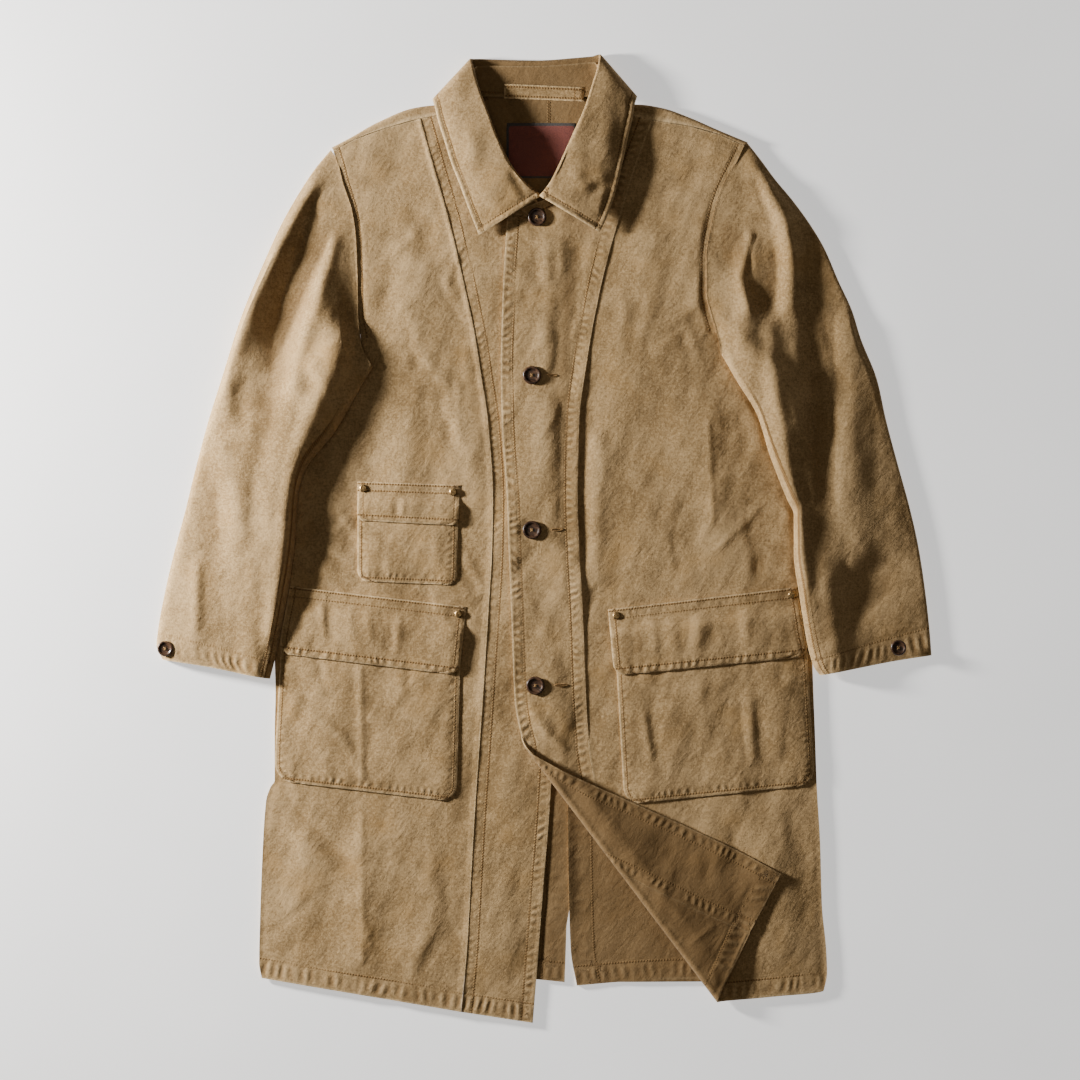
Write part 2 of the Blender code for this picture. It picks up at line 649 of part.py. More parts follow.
def back_under(x, y):
    """Underside of the back: on the floor, and lifted over the collar at the neck."""
    off = np.abs(x - NECK_LIFT_X)
    across = 1.0 - ease((off - NECK_LIFT_HALF_WIDTH) / NECK_LIFT_SIDE_FADE)
    return NECK_LIFT * ease((y - NECK_LIFT_FROM_Y) / NECK_LIFT_OVER) * across


def shoulder_roll(table):
    """Fold line, seam line and inward direction of a shoulder, one row for each point."""
    rows = np.asarray(table, dtype=float)
    fold, seam = rows[:, :2], rows[:, 2:]
    inward = seam - fold
    inward[:, 0] *= SHOULDER_LEAN
    inward /= np.linalg.norm(inward, axis=1)[:, None]
    return fold, seam, inward


def make_back_half(name, rows, side_table, hole_table, centre_table, shoulder, neck, sign):
    """One half of the back with its shoulder wrapped forward to the seam."""
    table = refine(rows, 2 * ROW_REACH)
    side_y, centre_y = table.T
    armpit = side_table[-1][0]
    hole = smooth(hole_table, side_y) + sign * ARMHOLE_HALF_GAP
    side_x = np.where(side_y < armpit, smooth(side_table, side_y) + sign * GAP, hole)
    side = np.column_stack((side_x, side_y))
    centre = np.column_stack((smooth(centre_table, centre_y) - sign * SEAM_HALF_GAP, centre_y))
    shoulder_columns = len(shoulder) - 1
    across = shoulder_columns + NECK_COLUMNS
    flat = rule(side, centre, across)
    flat[0, :, 1] += np.sin(np.linspace(0, math.pi, across + 1)) * BACK_HEM_RISE
    fold, seam, inward = shoulder_roll(shoulder)
    foot = fold + inward * SHOULDER_RADIUS
    top = np.vstack((foot, along(neck, NECK_COLUMNS + 1)[1:]))
    top[-1, 0] = centre[-1, 0]
    share = np.linspace(0, 1, YOKE_ROWS + 1)[1:, None, None]
    flat = np.concatenate((flat, flat[-1][None] * (1 - share) + top[None] * share))
    rows_flat, columns_flat = flat.shape[:2]
    lower = np.dstack((flat, back_under(flat[..., 0], flat[..., 1])))
    faces = grid_faces(rows_flat, columns_flat)
    lower_points = [lower.reshape(-1, 3)]
    upper_points = [lower.reshape(-1, 3) + (0, 0, CLOTH)]
    first = (rows_flat - 1) * columns_flat
    previous = list(range(first, first + shoulder_columns + 1))
    count = rows_flat * columns_flat
    angles = [math.pi * (k + 1) / SHOULDER_BEND_STEPS for k in range(SHOULDER_BEND_STEPS)]
    for angle, target in [(angle, None) for angle in angles] + [(math.pi, seam)]:
        for depth, points in ((0.0, lower_points), (CLOTH, upper_points)):
            radius = SHOULDER_RADIUS - depth
            plan = foot - inward * radius * math.sin(angle) if target is None else target
            height = SHOULDER_RADIUS - radius * math.cos(angle)
            points.append(np.column_stack((plan, np.full(len(plan), height))))
        current = list(range(count, count + shoulder_columns + 1))
        for j in range(shoulder_columns):
            faces.append((previous[j], previous[j + 1], current[j + 1], current[j]))
        previous = current
        count += shoulder_columns + 1
    wall(name, np.vstack(lower_points), np.vstack(upper_points), faces)


def make_back():
    """Both halves of the back, apart at the vent."""
    centre = len(BACK_NECK) // 2
    make_back_half("back_left", BACK_LEFT_ROWS, LEFT_SIDE, LEFT_ARMHOLE, CENTRE_BACK_LEFT,
                   LEFT_SHOULDER, BACK_NECK[:centre + 1], 1)
    make_back_half("back_right", BACK_RIGHT_ROWS, RIGHT_SIDE, RIGHT_ARMHOLE,
                   CENTRE_BACK_RIGHT, RIGHT_SHOULDER, BACK_NECK[:centre - 1:-1], -1)


def cover(side_table, sign, x, y):
    """1 where a sleeve lies on the body's side, 0 where it lies on the floor."""
    top = side_table[-1][0]
    edge = smooth(side_table, y)
    inside = sign * (x - edge)
    across = ease((inside + SLEEVE_COVER_START) / (SLEEVE_COVER_START - SLEEVE_COVER_FULL))
    return across * (1.0 - ease((y - top - SLEEVE_LEAVES_BODY) / SLEEVE_LEAVES_OVER))


def sleeve_low(side_table, sign, x, y):
    """Underside of a sleeve above the floor."""
    on_body = front_under(x, y) + CLOTH + SLEEVE_CLEARANCE
    return on_body * cover(side_table, sign, x, y)


def sleeve_plan(outer, inner, head, cuff, share, station):
    """Place across the sleeve (0 outer edge, 1 inner edge) at a station from head to cuff."""
    at = station * (RAIL_POINTS - 1)
    rails = []
    for rail in (outer, inner):
        dense = along(rail, RAIL_POINTS)
        rails.append(np.array([np.interp(at, np.arange(RAIL_POINTS), column)
                               for column in dense.T]))
    first, last = rails
    lines = []
    for line in (head, cuff):
        dense = along(line, LINE_POINTS)
        where = np.clip(share, 0, 1) * (LINE_POINTS - 1)
        curve = np.column_stack([np.interp(where, np.arange(LINE_POINTS), column)
                                 for column in dense.T])
        straight = dense[0] + (dense[-1] - dense[0]) * np.clip(share, 0, 1)[:, None]
        lines.append(curve - straight)
    base = first + (last - first) * share[:, None]
    head_share = max(0.0, 1.0 - station / HEAD_CURVE_END) ** 2
    cuff_share = max(0.0, (station - CUFF_CURVE_START) / (1.0 - CUFF_CURVE_START)) ** 2
    return base + lines[0] * head_share + lines[1] * cuff_share


def sleeve_crown(share, station):
    """Height of the sleeve's upper layer over its rolled edges."""
    grow = ease(station / CROWN_GROWS_BY)
    arm = SLEEVE_CROWN_HEAD + (SLEEVE_CROWN_ARM - SLEEVE_CROWN_HEAD) * grow
    drop = ease((station - CROWN_DROPS_FROM) / CROWN_DROPS_OVER)
    height = arm + (SLEEVE_CROWN_CUFF - arm) * drop * grow
    return height * np.sin(math.pi * np.clip(share, 0, 1)) ** CROWN_ROUNDNESS


def make_sleeve(name, outer, inner, head, cuff, side_table, folds, sign):
    """Flattened tube: rolled edges, a level underside and a crowned upper layer."""
    radius = SLEEVE_EDGE_RADIUS
    quarter = np.linspace(0, math.pi / 2, EDGE_STEPS + 1)
    rings = []
    for station in np.append(np.linspace(0, SLEEVE_LAST_STATION, SLEEVE_STATIONS), 1.0):
        ends = sleeve_plan(outer, inner, head, cuff, np.array((0.0, 1.0)), station)
        width = np.linalg.norm(ends[1] - ends[0])
        pair = []
        for depth in (0.0, CLOTH):
            bend = radius - depth
            lift = bend * np.sin(quarter)
            inset = depth + bend * (1 - np.cos(quarter))
            swing = np.linspace(0, math.pi, SLEEVE_TOP_STEPS + 1)[1:-1]
            middle = width / 2 - (width / 2 - radius) * np.cos(swing)
            top_at = np.concatenate((inset, middle, width - inset[::-1]))
            top_up = np.concatenate((lift, np.full(len(middle), bend), lift[::-1]))
            low_at = np.concatenate((width - inset[1:], middle[::-1], inset[::-1][:-1]))
            low_up = np.concatenate((-lift[1:], np.full(len(middle), -bend), -lift[::-1][:-1]))
            share = np.concatenate((top_at, low_at)) / width
            plan = sleeve_plan(outer, inner, head, cuff, share, station)
            x, y = plan.T
            low = sleeve_low(side_table, sign, x, y)
            z = low + radius + np.concatenate((top_up, low_up))
            is_top = np.arange(len(share)) < len(top_at)
            edge = np.minimum(share, 1 - share) * width
            on_top = ease((edge - radius / 2) / CREASE_EDGE_FADE)
            crease = relief(folds, x, y) * min(1.0, station / CREASE_START) * on_top
            crown = sleeve_crown(share, station)
            crest = np.maximum(crown + crease, LEAST_CROWN * crown)
            past_bend = edge > radius - GAP
            z = z + np.where(is_top & past_bend, crest, 0.0)
            pair.append(np.column_stack((x, y, z)))
        rings.append(pair)
    ring = len(rings[0][0])
    points = []
    for outer_ring, inner_ring in rings:
        points.append(outer_ring)
        points.append(inner_ring)
    faces = []
    for i in range(len(rings) - 1):
        a, b = 2 * i * ring, 2 * (i + 1) * ring
        for j in range(ring):
            k = (j + 1) % ring
            faces.append((a + j, a + k, b + k, b + j))
            faces.append((a + ring + k, a + ring + j, b + ring + j, b + ring + k))
    last = 2 * (len(rings) - 1) * ring
    for j in range(ring):
        k = (j + 1) % ring
        faces.append((j, j + ring, k + ring, k))
        faces.append((last + j, last + k, last + k + ring, last + j + ring))
    add_object(name, np.vstack(points), faces, "canvas")


def sheet_on_middle(name, grid, thickness, material="canvas"):
    """Closed sheet of a thickness about a grid of points at the middle of the cloth."""
    along_rows = np.gradient(grid, axis=0)
    along_columns = np.gradient(grid, axis=1)
    normal = np.cross(along_rows, along_columns)
    normal /= np.linalg.norm(normal, axis=2)[..., None]
    half = normal * thickness / 2
    rows, columns = grid.shape[:2]
    wall(name, (grid - half).reshape(-1, 3), (grid + half).reshape(-1, 3),
         grid_faces(rows, columns), material)


def make_collar():
    """The turned-down fall and the stand inside it."""
    for name, table, columns, bulge, cloth in (
            ("collar_fall", COLLAR_FALL, 5, COLLAR_BULGE, COLLAR_CLOTH),
            ("collar_stand", COLLAR_STAND, 2, 0.0, CLOTH)):
        rows = refine(table, COLLAR_REACH)
        grid = rule(rows[:, :3], rows[:, 3:], columns)
        share = np.linspace(0, 1, columns + 1)
        front = ease((rows[:, 2] - COLLAR_BULGE_FROM_Z) / COLLAR_BULGE_OVER)
        dip = COLLAR_BACK_DIP * ease((COLLAR_BACK_Z - rows[:, 2]) / COLLAR_DIP_OVER)
        grid[..., 2] += bulge * (front - dip)[:, None] * np.sin(math.pi * share)[None, :]
        sheet_on_middle(name, grid, cloth)


def patch(name, corners, corner_cut, surface, material="canvas", thickness=CLOTH,
          left_limit=None, right_limit=None, step_up=None, columns=PATCH_COLUMNS):
    """Flat piece sewn on a panel: four corners, the lower two clipped, laid on a surface."""
    top_left, top_right, low_right, low_left = [np.array(c, dtype=float) for c in corners]
    height = np.linalg.norm(low_left - top_left)
    width = np.linalg.norm(top_right - top_left)
    body = np.linspace(0, 1 - corner_cut / height, max(3, int(height / PATCH_ROW) + 1))
    if step_up is not None:
        start, full = step_up
        body = np.array((0.0, start, (start + full) / 2, full, 1 - corner_cut / height))
    shares = list(body)
    if corner_cut > 0:
        shares += [1 - corner_cut * up / height for up in CORNER_ROWS]
    rows = []
    for v in shares:
        left = top_left + (low_left - top_left) * v
        right = top_right + (low_right - top_right) * v
        if left_limit is not None:
            left[0] = max(left[0], left_limit(left[1]))
        if right_limit is not None:
            right[0] = min(right[0], right_limit(right[1]))
        inset = 0.0
        if corner_cut > 0:
            into = np.clip(1 - (1 - v) * height / corner_cut, 0.0, 1.0)
            inset = corner_cut * (1 - math.sqrt(max(0.0, 1 - into * into)))
            inset = min(inset, corner_cut * CORNER_FULL)
        step = (right - left) / width
        rows.append(np.linspace(left + step * inset, right - step * inset, columns + 1))
    grid = np.array(rows)
    x, y = grid[..., 0], grid[..., 1]
    z = surface(x, y) + GAP + LAP_SPARE
    if step_up is not None:
        climb = ease((np.array(shares) - start) / (full - start))
        z = z + (CLOTH + GAP + LAP_SPARE) * climb[:, None]
    lower = np.dstack((x, y, z)).reshape(-1, 3)
    wall(name, lower, lower + (0, 0, thickness), grid_faces(*grid.shape[:2]), material)
    return grid, z + thickness


def make_pockets():
    """Patch pockets and their flaps."""
    def left_limit(y):
        inner = np.array(sorted((point[1], point[0]) for point in LEFT_SLEEVE_INNER))
        beside = np.interp(y, inner[:, 0], inner[:, 1]) + PATCH_SLEEVE_GAP
        own = smooth(LEFT_SIDE, y) + PATCH_SIDE_GAP
        return float(max(beside, own) if y > LEFT_CUFF_Y else own)

    def right_limit(y):
        inner = np.array(sorted((point[1], point[0]) for point in RIGHT_SLEEVE_INNER))
        beside = np.interp(y, inner[:, 0], inner[:, 1]) - PATCH_SLEEVE_GAP
        own = smooth(RIGHT_SIDE, y) - PATCH_SIDE_GAP
        return float(min(beside, own) if y > RIGHT_CUFF_Y else own)

    patch("pocket_left", LEFT_POCKET, POCKET_CORNER, left_top, left_limit=left_limit)
    patch("pocket_right", RIGHT_POCKET, POCKET_CORNER, right_top, right_limit=right_limit)
    patch("chest_pocket", CHEST_POCKET, CHEST_CORNER, left_top,
          columns=SMALL_COLUMNS)
    patch("flap_left", LEFT_FLAP, FLAP_CORNER, left_top, left_limit=left_limit,
          step_up=FLAP_STEP)
    patch("flap_right", RIGHT_FLAP, FLAP_CORNER, right_top, right_limit=right_limit,
          step_up=FLAP_STEP)
    patch("chest_flap", CHEST_FLAP, CHEST_FLAP_CORNER, left_top, step_up=CHEST_FLAP_STEP,
          columns=SMALL_COLUMNS)


def make_neck_pieces():
    """The hanger loop across the neck seam and the bare label below it."""
    def back_top(x, y):
        return back_under(x, y) + CLOTH

    def stand_top(x, y):
        rise = np.clip((y - STAND_BACK_Y) / STAND_BACK_DEPTH, 0.0, 1.0)
        return STAND_BACK_Z + CLOTH / 2 + STAND_BACK_RISE * rise

    patch("hanger_loop", HANGER_LOOP, 0.0, stand_top, thickness=TAPE, columns=TAPE_COLUMNS)
    patch("neck_label", NECK_LABEL, 0.0, back_top, "label_cloth", LABEL,
          columns=TAPE_COLUMNS)


def turned(name, place, profile, sides, material, holes=0):
    """Round piece turned from a profile of radius and height, with sewing holes."""
    shape = bmesh.new()
    rings = []
    for radius, height in profile:
        if radius == 0:
            rings.append([shape.verts.new((0, 0, height * MM))])
            continue
        ring = []
        for k in range(sides):
            angle = 2 * math.pi * k / sides
            ring.append(shape.verts.new((radius * MM * math.cos(angle),
                                         radius * MM * math.sin(angle), height * MM)))
        rings.append(ring)
    for low, high in zip(rings, rings[1:]):
        for k in range(sides):
            corners = [low[k % len(low)], low[(k + 1) % len(low)],
                       high[(k + 1) % len(high)], high[k % len(high)]]
            unique = list(dict.fromkeys(corners))
            shape.faces.new(unique)
    bmesh.ops.recalc_face_normals(shape, faces=shape.faces[:])
    mesh = bpy.data.meshes.new(name)
    shape.to_mesh(mesh)
    shape.free()
    mesh.materials.append(finish(material))
    thing = bpy.data.objects.new(name, mesh)
    thing.location = [value * MM for value in place]
    bpy.context.scene.collection.objects.link(thing)
    if holes:
        drill(thing, place, holes)
    mesh.shade_smooth()
    mesh.set_sharp_from_angle(angle=math.radians(35))
    return thing


def drill(thing, place, holes):
    """Cut the sewing holes with one hidden cutter of small rods."""
    cutter_shape = bmesh.new()
    for k in range(holes):
        angle = math.pi / 4 + 2 * math.pi * k / holes
        made = bmesh.ops.create_cone(cutter_shape, cap_ends=True,
                                     segments=BUTTON_HOLE_SIDES,
                                     radius1=BUTTON_HOLE_RADIUS * MM,
                                     radius2=BUTTON_HOLE_RADIUS * MM,
                                     depth=4 * BUTTON_THICKNESS * MM)
        out = BUTTON_HOLE_CIRCLE * MM
        bmesh.ops.translate(cutter_shape, verts=made["verts"],
                            vec=(out * math.cos(angle), out * math.sin(angle), 0))
    cutter_mesh = bpy.data.meshes.new(thing.name + "_cutter")
    cutter_shape.to_mesh(cutter_mesh)
    cutter_shape.free()
    cutter = bpy.data.objects.new(thing.name + "_cutter", cutter_mesh)
    cutter.location = [value * MM for value in place]
    cutter.hide_render = True
    cutter.display_type = "WIRE"
    bpy.context.scene.collection.objects.link(cutter)
    cut = thing.modifiers.new("holes", "BOOLEAN")
    cut.operation = "DIFFERENCE"
    cut.solver = "EXACT"
    cut.object = cutter


def button_profile(radius):
    """Dished horn button: flat back, round edge, raised rim and a level well."""
    high = BUTTON_THICKNESS
    return ((0, 0.0), (radius * 0.7, 0.0), (radius, high * 0.4), (radius * 0.95, high * 0.85),
            (radius * 0.82, high), (radius * 0.66, high * 0.72), (0, high * 0.66))


def highest(surface, place, radius):
    """Highest point of a surface under a round piece."""
    spots = []
    for ring in (0.0, 0.5, 1.0):
        for k in range(12):
            angle = 2 * math.pi * k / 12
            spots.append((place[0] + ring * radius * math.cos(angle),
                          place[1] + ring * radius * math.sin(angle)))
    x, y = np.array(spots).T
    return float(np.max(surface(x, y)))


def sleeve_top(name):
    """Upper face of a made sleeve as a function of place, found by looking down on it."""
    mesh = bpy.data.objects[name].data
    tree = BVHTree.FromPolygons([v.co for v in mesh.vertices],
                                [tuple(p.vertices) for p in mesh.polygons])

    def surface(x, y):
        heights = []
        for px, py in zip(x, y):
            hit = tree.ray_cast(Vector((px * MM, py * MM, 1.0)), Vector((0, 0, -1)))[0]
            heights.append(0.0 if hit is None else hit.z / MM)
        return np.array(heights)

    return surface


def make_buttons():
    """Four front buttons and one on each cuff."""
    for number, place in enumerate(FRONT_BUTTONS, start=1):
        base = highest(right_top, place, FRONT_BUTTON_RADIUS) + GAP
        turned(f"front_button_{number}", (*place, base), button_profile(FRONT_BUTTON_RADIUS),
               BUTTON_SIDES, "horn", holes=BUTTON_HOLES)
    for name, sleeve, place in (("cuff_button_left", "sleeve_left", CUFF_BUTTON_LEFT),
                                ("cuff_button_right", "sleeve_right", CUFF_BUTTON_RIGHT)):
        base = highest(sleeve_top(sleeve), place, CUFF_BUTTON_RADIUS) + GAP
        turned(name, (*place, base), button_profile(CUFF_BUTTON_RADIUS),
               BUTTON_SIDES, "horn", holes=BUTTON_HOLES)


def make_rivets():
    """Domed rivets at the corners of the flaps."""
    profile = ((0, 0.0), (RIVET_RADIUS, 0.0), (RIVET_RADIUS, RIVET_HEIGHT * 0.35),
               (RIVET_RADIUS * 0.72, RIVET_HEIGHT * 0.85), (0, RIVET_HEIGHT))
    for prefix, places, surface in (("chest_rivet", CHEST_RIVETS, left_top),
                                    ("left_rivet", LEFT_RIVETS, left_top),
                                    ("right_rivet", RIGHT_RIVETS, right_top)):
        for number, place in enumerate(places, start=1):
            base = highest(surface, place, RIVET_RADIUS) + 2 * GAP + CLOTH + LAP_SPARE
            turned(f"{prefix}_{number}", (*place, base), profile, RIVET_SIDES,
                   "brass")


def main():
    """Build the coat from the floor up."""
    clear_scene()
    make_back()
    make_left_front()
    make_right_front()
    make_sleeve("sleeve_left", LEFT_SLEEVE_OUTER, LEFT_SLEEVE_INNER, LEFT_SLEEVE_HEAD,
                LEFT_SLEEVE_CUFF, LEFT_SIDE, SLEEVE_FOLDS_LEFT, 1)
    make_sleeve("sleeve_right", RIGHT_SLEEVE_OUTER, RIGHT_SLEEVE_INNER, RIGHT_SLEEVE_HEAD,
                RIGHT_SLEEVE_CUFF, RIGHT_SIDE, SLEEVE_FOLDS_RIGHT, -1)
    make_pockets()
    make_collar()
    make_neck_pieces()
    make_buttons()
    make_rivets()


main()
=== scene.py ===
# %% [markdown]
# # A duster coat laid flat
#
# The frame holds the coat's cut pieces as plain walls. This lesson makes each piece again at a
# finer step, sews in its folds, hems and stitches, and gives it its cloth, horn and brass.

# %% Load the frame
import math

import bpy
import numpy as np
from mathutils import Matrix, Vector


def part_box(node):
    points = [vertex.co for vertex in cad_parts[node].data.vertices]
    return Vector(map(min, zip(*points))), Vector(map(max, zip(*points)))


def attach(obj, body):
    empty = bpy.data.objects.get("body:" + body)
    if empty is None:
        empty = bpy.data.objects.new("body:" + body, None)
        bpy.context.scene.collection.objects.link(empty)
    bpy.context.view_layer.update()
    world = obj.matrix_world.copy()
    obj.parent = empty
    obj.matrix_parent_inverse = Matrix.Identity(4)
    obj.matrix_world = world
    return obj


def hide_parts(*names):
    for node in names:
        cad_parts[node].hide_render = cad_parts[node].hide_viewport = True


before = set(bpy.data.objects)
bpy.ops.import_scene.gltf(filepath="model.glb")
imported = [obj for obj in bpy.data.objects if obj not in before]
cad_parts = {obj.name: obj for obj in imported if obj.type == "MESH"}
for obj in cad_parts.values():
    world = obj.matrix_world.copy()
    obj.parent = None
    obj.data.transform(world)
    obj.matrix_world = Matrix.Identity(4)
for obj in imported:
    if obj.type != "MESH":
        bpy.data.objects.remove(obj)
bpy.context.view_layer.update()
print("nodes in the frame:", len(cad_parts))

# %% [markdown]
# ## Camera, light and floor
#
# The coat is seen from straight above. One large lamp stands low on the left, so that every
# fold shows a lit and a shaded side, and a wide lamp overhead keeps the shadows open.

# %% Camera, light and floor
MM = 0.001


def lamp(name, place, target, size, power, colour):
    """Disk lamp at a place, turned to face a target."""
    data = bpy.data.lights.new(name, "AREA")
    data.shape = "DISK"
    data.size = size
    data.energy = power
    data.color = colour
    thing = bpy.data.objects.new(name, data)
    thing.location = place
    direction = Vector(target) - Vector(place)
    thing.rotation_euler = direction.to_track_quat("-Z", "Y").to_euler()
    bpy.context.scene.collection.objects.link(thing)


camera_data = bpy.data.cameras.new("camera")
camera_data.lens = 85
camera_data.sensor_width = 36
camera = bpy.data.objects.new("camera", camera_data)
camera.location = (-0.00464, -0.00058, 2.958)
bpy.context.scene.collection.objects.link(camera)
bpy.context.scene.camera = camera

lamp("key", (-1.72, 0.42, 0.49), (0.1, 0.0, 0.0), 0.24, 106.0, (1.0, 0.975, 0.94))
lamp("overhead", (-0.5, 0.2, 3.4), (0.0, 0.0, 0.0), 2.2, 7.0, (1.0, 0.9, 0.76))

world = bpy.data.worlds.new("studio")
world.use_nodes = True
background = world.node_tree.nodes["Background"].inputs
background["Color"].default_value = (1.0, 0.9, 0.78, 1.0)
background["Strength"].default_value = 0.06
bpy.context.scene.world = world

FLOOR_LEVEL, FLOOR_HALF = -0.0006, 4
floor_mesh = bpy.data.meshes.new("floor")
floor_mesh.from_pydata([(x * FLOOR_HALF, y * FLOOR_HALF, FLOOR_LEVEL)
                        for x, y in ((-1, -1), (1, -1), (1, 1), (-1, 1))], [], [(0, 1, 2, 3)])
floor = bpy.data.objects.new("floor", floor_mesh)
bpy.context.scene.collection.objects.link(floor)
print("camera at", tuple(camera.location))

# %% [markdown]
# ## The cut, as it lies
#
# These tables hold the outlines of the pieces in millimetres, as a maker would chalk them round
# the coat on the floor. Left and right are the sides seen from above.

# %% Outline tables
CLOTH = 1.8
COLLAR_CLOTH = 2.4
TAPE = 1.2
LABEL = 0.8
GAP = 0.3
SPARE = 0.2
# Columns: y, x
LEFT_SIDE = (
    (-508, -327), (-490, -330), (-443, -329), (-362, -326), (-303, -322), (-287, -317),
    (-279, -312), (-224, -312), (-175, -311), (-129, -312), (-70, -302), (-6, -295),
    (46, -290), (76, -286), (139, -269), (190, -250), (214, -228), (232, -212),
)
LEFT_ARMHOLE = (
    (232, -212), (260, -215), (313, -216), (353, -218), (380, -222), (414, -232),
    (438, -238), (451, -242),
)
LEFT_SEAM = (
    (-547, -96), (-474, -89), (-386, -84), (-316, -80), (-188, -71), (-79, -64), (-12, -60),
    (46, -59), (139, -65), (192, -73), (243, -81), (280, -89), (338, -102), (392, -116),
    (433, -128), (487, -143),
)
LEFT_FRONT_EDGE = (
    (-560, -13), (-485, -7), (-393, 0), (-320, 6), (-190, 13), (-79, 15), (46, 15),
    (192, 14), (378, 15), (390, -5), (403, -26), (423, -45), (449, -63), (470, -77),
    (486, -90), (494, -99),
)
RIGHT_SIDE = (
    (-523, 324), (-502, 328), (-476, 327), (-424, 322), (-354, 320), (-285, 316),
    (-227, 314), (-175, 312), (-120, 310), (-70, 304), (-6, 298), (46, 291), (100, 281),
    (139, 270), (190, 250), (217, 222), (241, 200),
)
RIGHT_ARMHOLE = (
    (241, 198.5), (260, 192.5), (287, 187.5), (327, 188), (366, 194), (398, 202), (422, 213),
    (441, 223), (456, 230),
)
RIGHT_SEAM = (
    (-552, 109), (-506, 104), (-459, 96), (-381, 82), (-306, 65), (-242, 53), (-188, 49),
    (-84, 45), (-12, 41), (46, 39), (139, 41), (202, 49), (280, 63), (338, 77), (388, 92),
    (425, 103), (463, 117), (485, 125),
)
RIGHT_FRONT_EDGE = (
    (-568, 34), (-523, 24), (-465, 14), (-383, 2), (-302, -10), (-238, -24), (-186, -34),
    (-84, -38), (-12, -41), (46, -43), (139, -49), (202, -50), (282, -48), (338, -45),
    (375, -42), (387, -16), (398, 13), (419, 34), (446, 51), (470, 63), (486, 74), (495, 82),
)
CENTRE_BACK_LEFT = (
    (-513, 24), (-453, 26), (-381, 27), (-315, 27), (-186, 23), (-76, 20), (40, 15),
    (133, 12), (190, 10), (260, 8), (336, 6), (394, 5), (510, 5),
)
CENTRE_BACK_RIGHT = (
    (-517, 38), (-476, 31), (-418, 29), (-360, 28), (-315, 27.6), (-186, 23.6), (-76, 20.6),
    (40, 15.6), (133, 12.6), (190, 10.6), (260, 8.6), (336, 6.6), (394, 5.6), (510, 5.6),
)
# Columns: side y, seam y, edge y
LEFT_ROWS = (
    (-508, -547, -560), (-443, -474, -485), (-362, -386, -393), (-303, -316, -320),
    (-240, -250, -254), (-175, -188, -190), (-120, -130, -132), (-70, -79, -79),
    (-6, -12, -12), (46, 46, 46), (92, 92, 92), (139, 139, 139), (190, 192, 192),
    (232, 243, 243), (278, 280, 280), (336, 338, 338), (362, 366, 372), (385, 388, 386),
    (400, 408, 403), (418, 426, 423), (430, 446, 449), (438, 461, 470), (445, 475, 486),
    (451, 487, 494),
)
# Columns: edge y, seam y, outer x, outer y
RIGHT_ROWS = (
    (495, 485, 230, 456), (486, 472, 225, 446), (470, 455, 217, 431), (446, 438, 208, 411),
    (419, 420, 202, 397), (398, 404, 197, 378), (387, 388, 193, 362), (375, 370, 190, 345),
    (338, 338, 188, 318), (282, 285, 188.5, 283), (243, 243, 200, 241),
    (202, 202, 247, 193), (139, 139, 270, 139), (92, 92, 283, 92), (46, 46, 291, 46),
    (-12, -12, 298, -6), (-84, -84, 304, -70), (-135, -136, 310, -120),
    (-186, -188, 312, -175), (-204, -225, 314, -227), (-211, -262, 316, -285),
    (-216, -297, 320, -354), (-221, -330, 322, -424), (-223, -346, 327, -476),
    (-224, -354, 325, -522), (-225, -359, 270, -529), (-226, -364, 206, -535),
)
RIGHT_CORNER_ROWS = (
    (-232, -370, 203, -535.5), (-238, -375, 200, -536), (-244, -381, 197, -536.5),
    (-250, -386, 194, -537), (-256, -392, 191, -537.5), (-262, -398, 188, -538),
    (-300, -422, 175, -540), (-350, -450, 159, -543), (-410, -482, 143, -546),
    (-470, -511, 129, -548.5), (-520, -534, 118, -550.5), (-568, -551.5, 110, -551.8),
)
# Columns: side y, centre back y
BACK_LEFT_ROWS = (
    (-502, -513), (-443, -453), (-362, -381), (-303, -315), (-175, -186), (-70, -76),
    (46, 40), (139, 133), (190, 190), (232, 226), (278, 278), (336, 336), (360, 368),
    (380, 394), (397, 417), (414, 440),
)
BACK_RIGHT_ROWS = (
    (-516, -517), (-470, -476), (-418, -418), (-354, -360), (-285, -315), (-175, -186),
    (-70, -76), (46, 40), (139, 133), (190, 190), (241, 241), (283, 283), (336, 336),
    (366, 370), (385, 394), (402, 417), (420, 440),
)
# Columns: fold x, fold y, seam x, seam y
LEFT_SHOULDER = (
    (-246, 454, -242, 450.8), (-225, 465, -219, 463.3), (-193, 483, -182, 476.5),
    (-150, 500, -143, 487.3), (-125, 503, -121, 491), (-99, 503, -99, 494.3),
)
RIGHT_SHOULDER = (
    (236, 460, 229.5, 456.5), (200, 475, 205, 468), (168, 489, 168, 478.5),
    (136, 500, 125, 485.3), (107, 504, 104, 490), (83, 503, 82, 495.3),
)
# Columns: x, y
BACK_NECK = (
    (-99, 498), (-86, 504), (-70, 508.5), (-45, 510), (5, 510), (45, 510), (60, 508.5),
    (72, 504), (83, 499),
)
LEFT_SLEEVE_OUTER = (
    (-247, 451.5), (-265, 430), (-286, 398), (-305, 364), (-326, 318), (-342, 281),
    (-353, 252), (-374, 185), (-389, 137), (-406, 73), (-415, 36), (-429, -17),
    (-439, -60), (-447, -103), (-449, -122), (-442, -139),
)
LEFT_SLEEVE_INNER = (
    (-198, 199), (-208, 183), (-242, 124), (-277, 78), (-285, 47), (-288, -1), (-298, -71),
    (-309, -129), (-317, -161),
)
LEFT_SLEEVE_HEAD = (
    (-247, 451.5), (-239, 438), (-233, 414), (-222, 380), (-218, 353), (-216, 313),
    (-215, 260), (-211, 226), (-198, 199),
)
LEFT_SLEEVE_CUFF = ((-442, -139), (-389, -147), (-335, -158), (-317, -161))
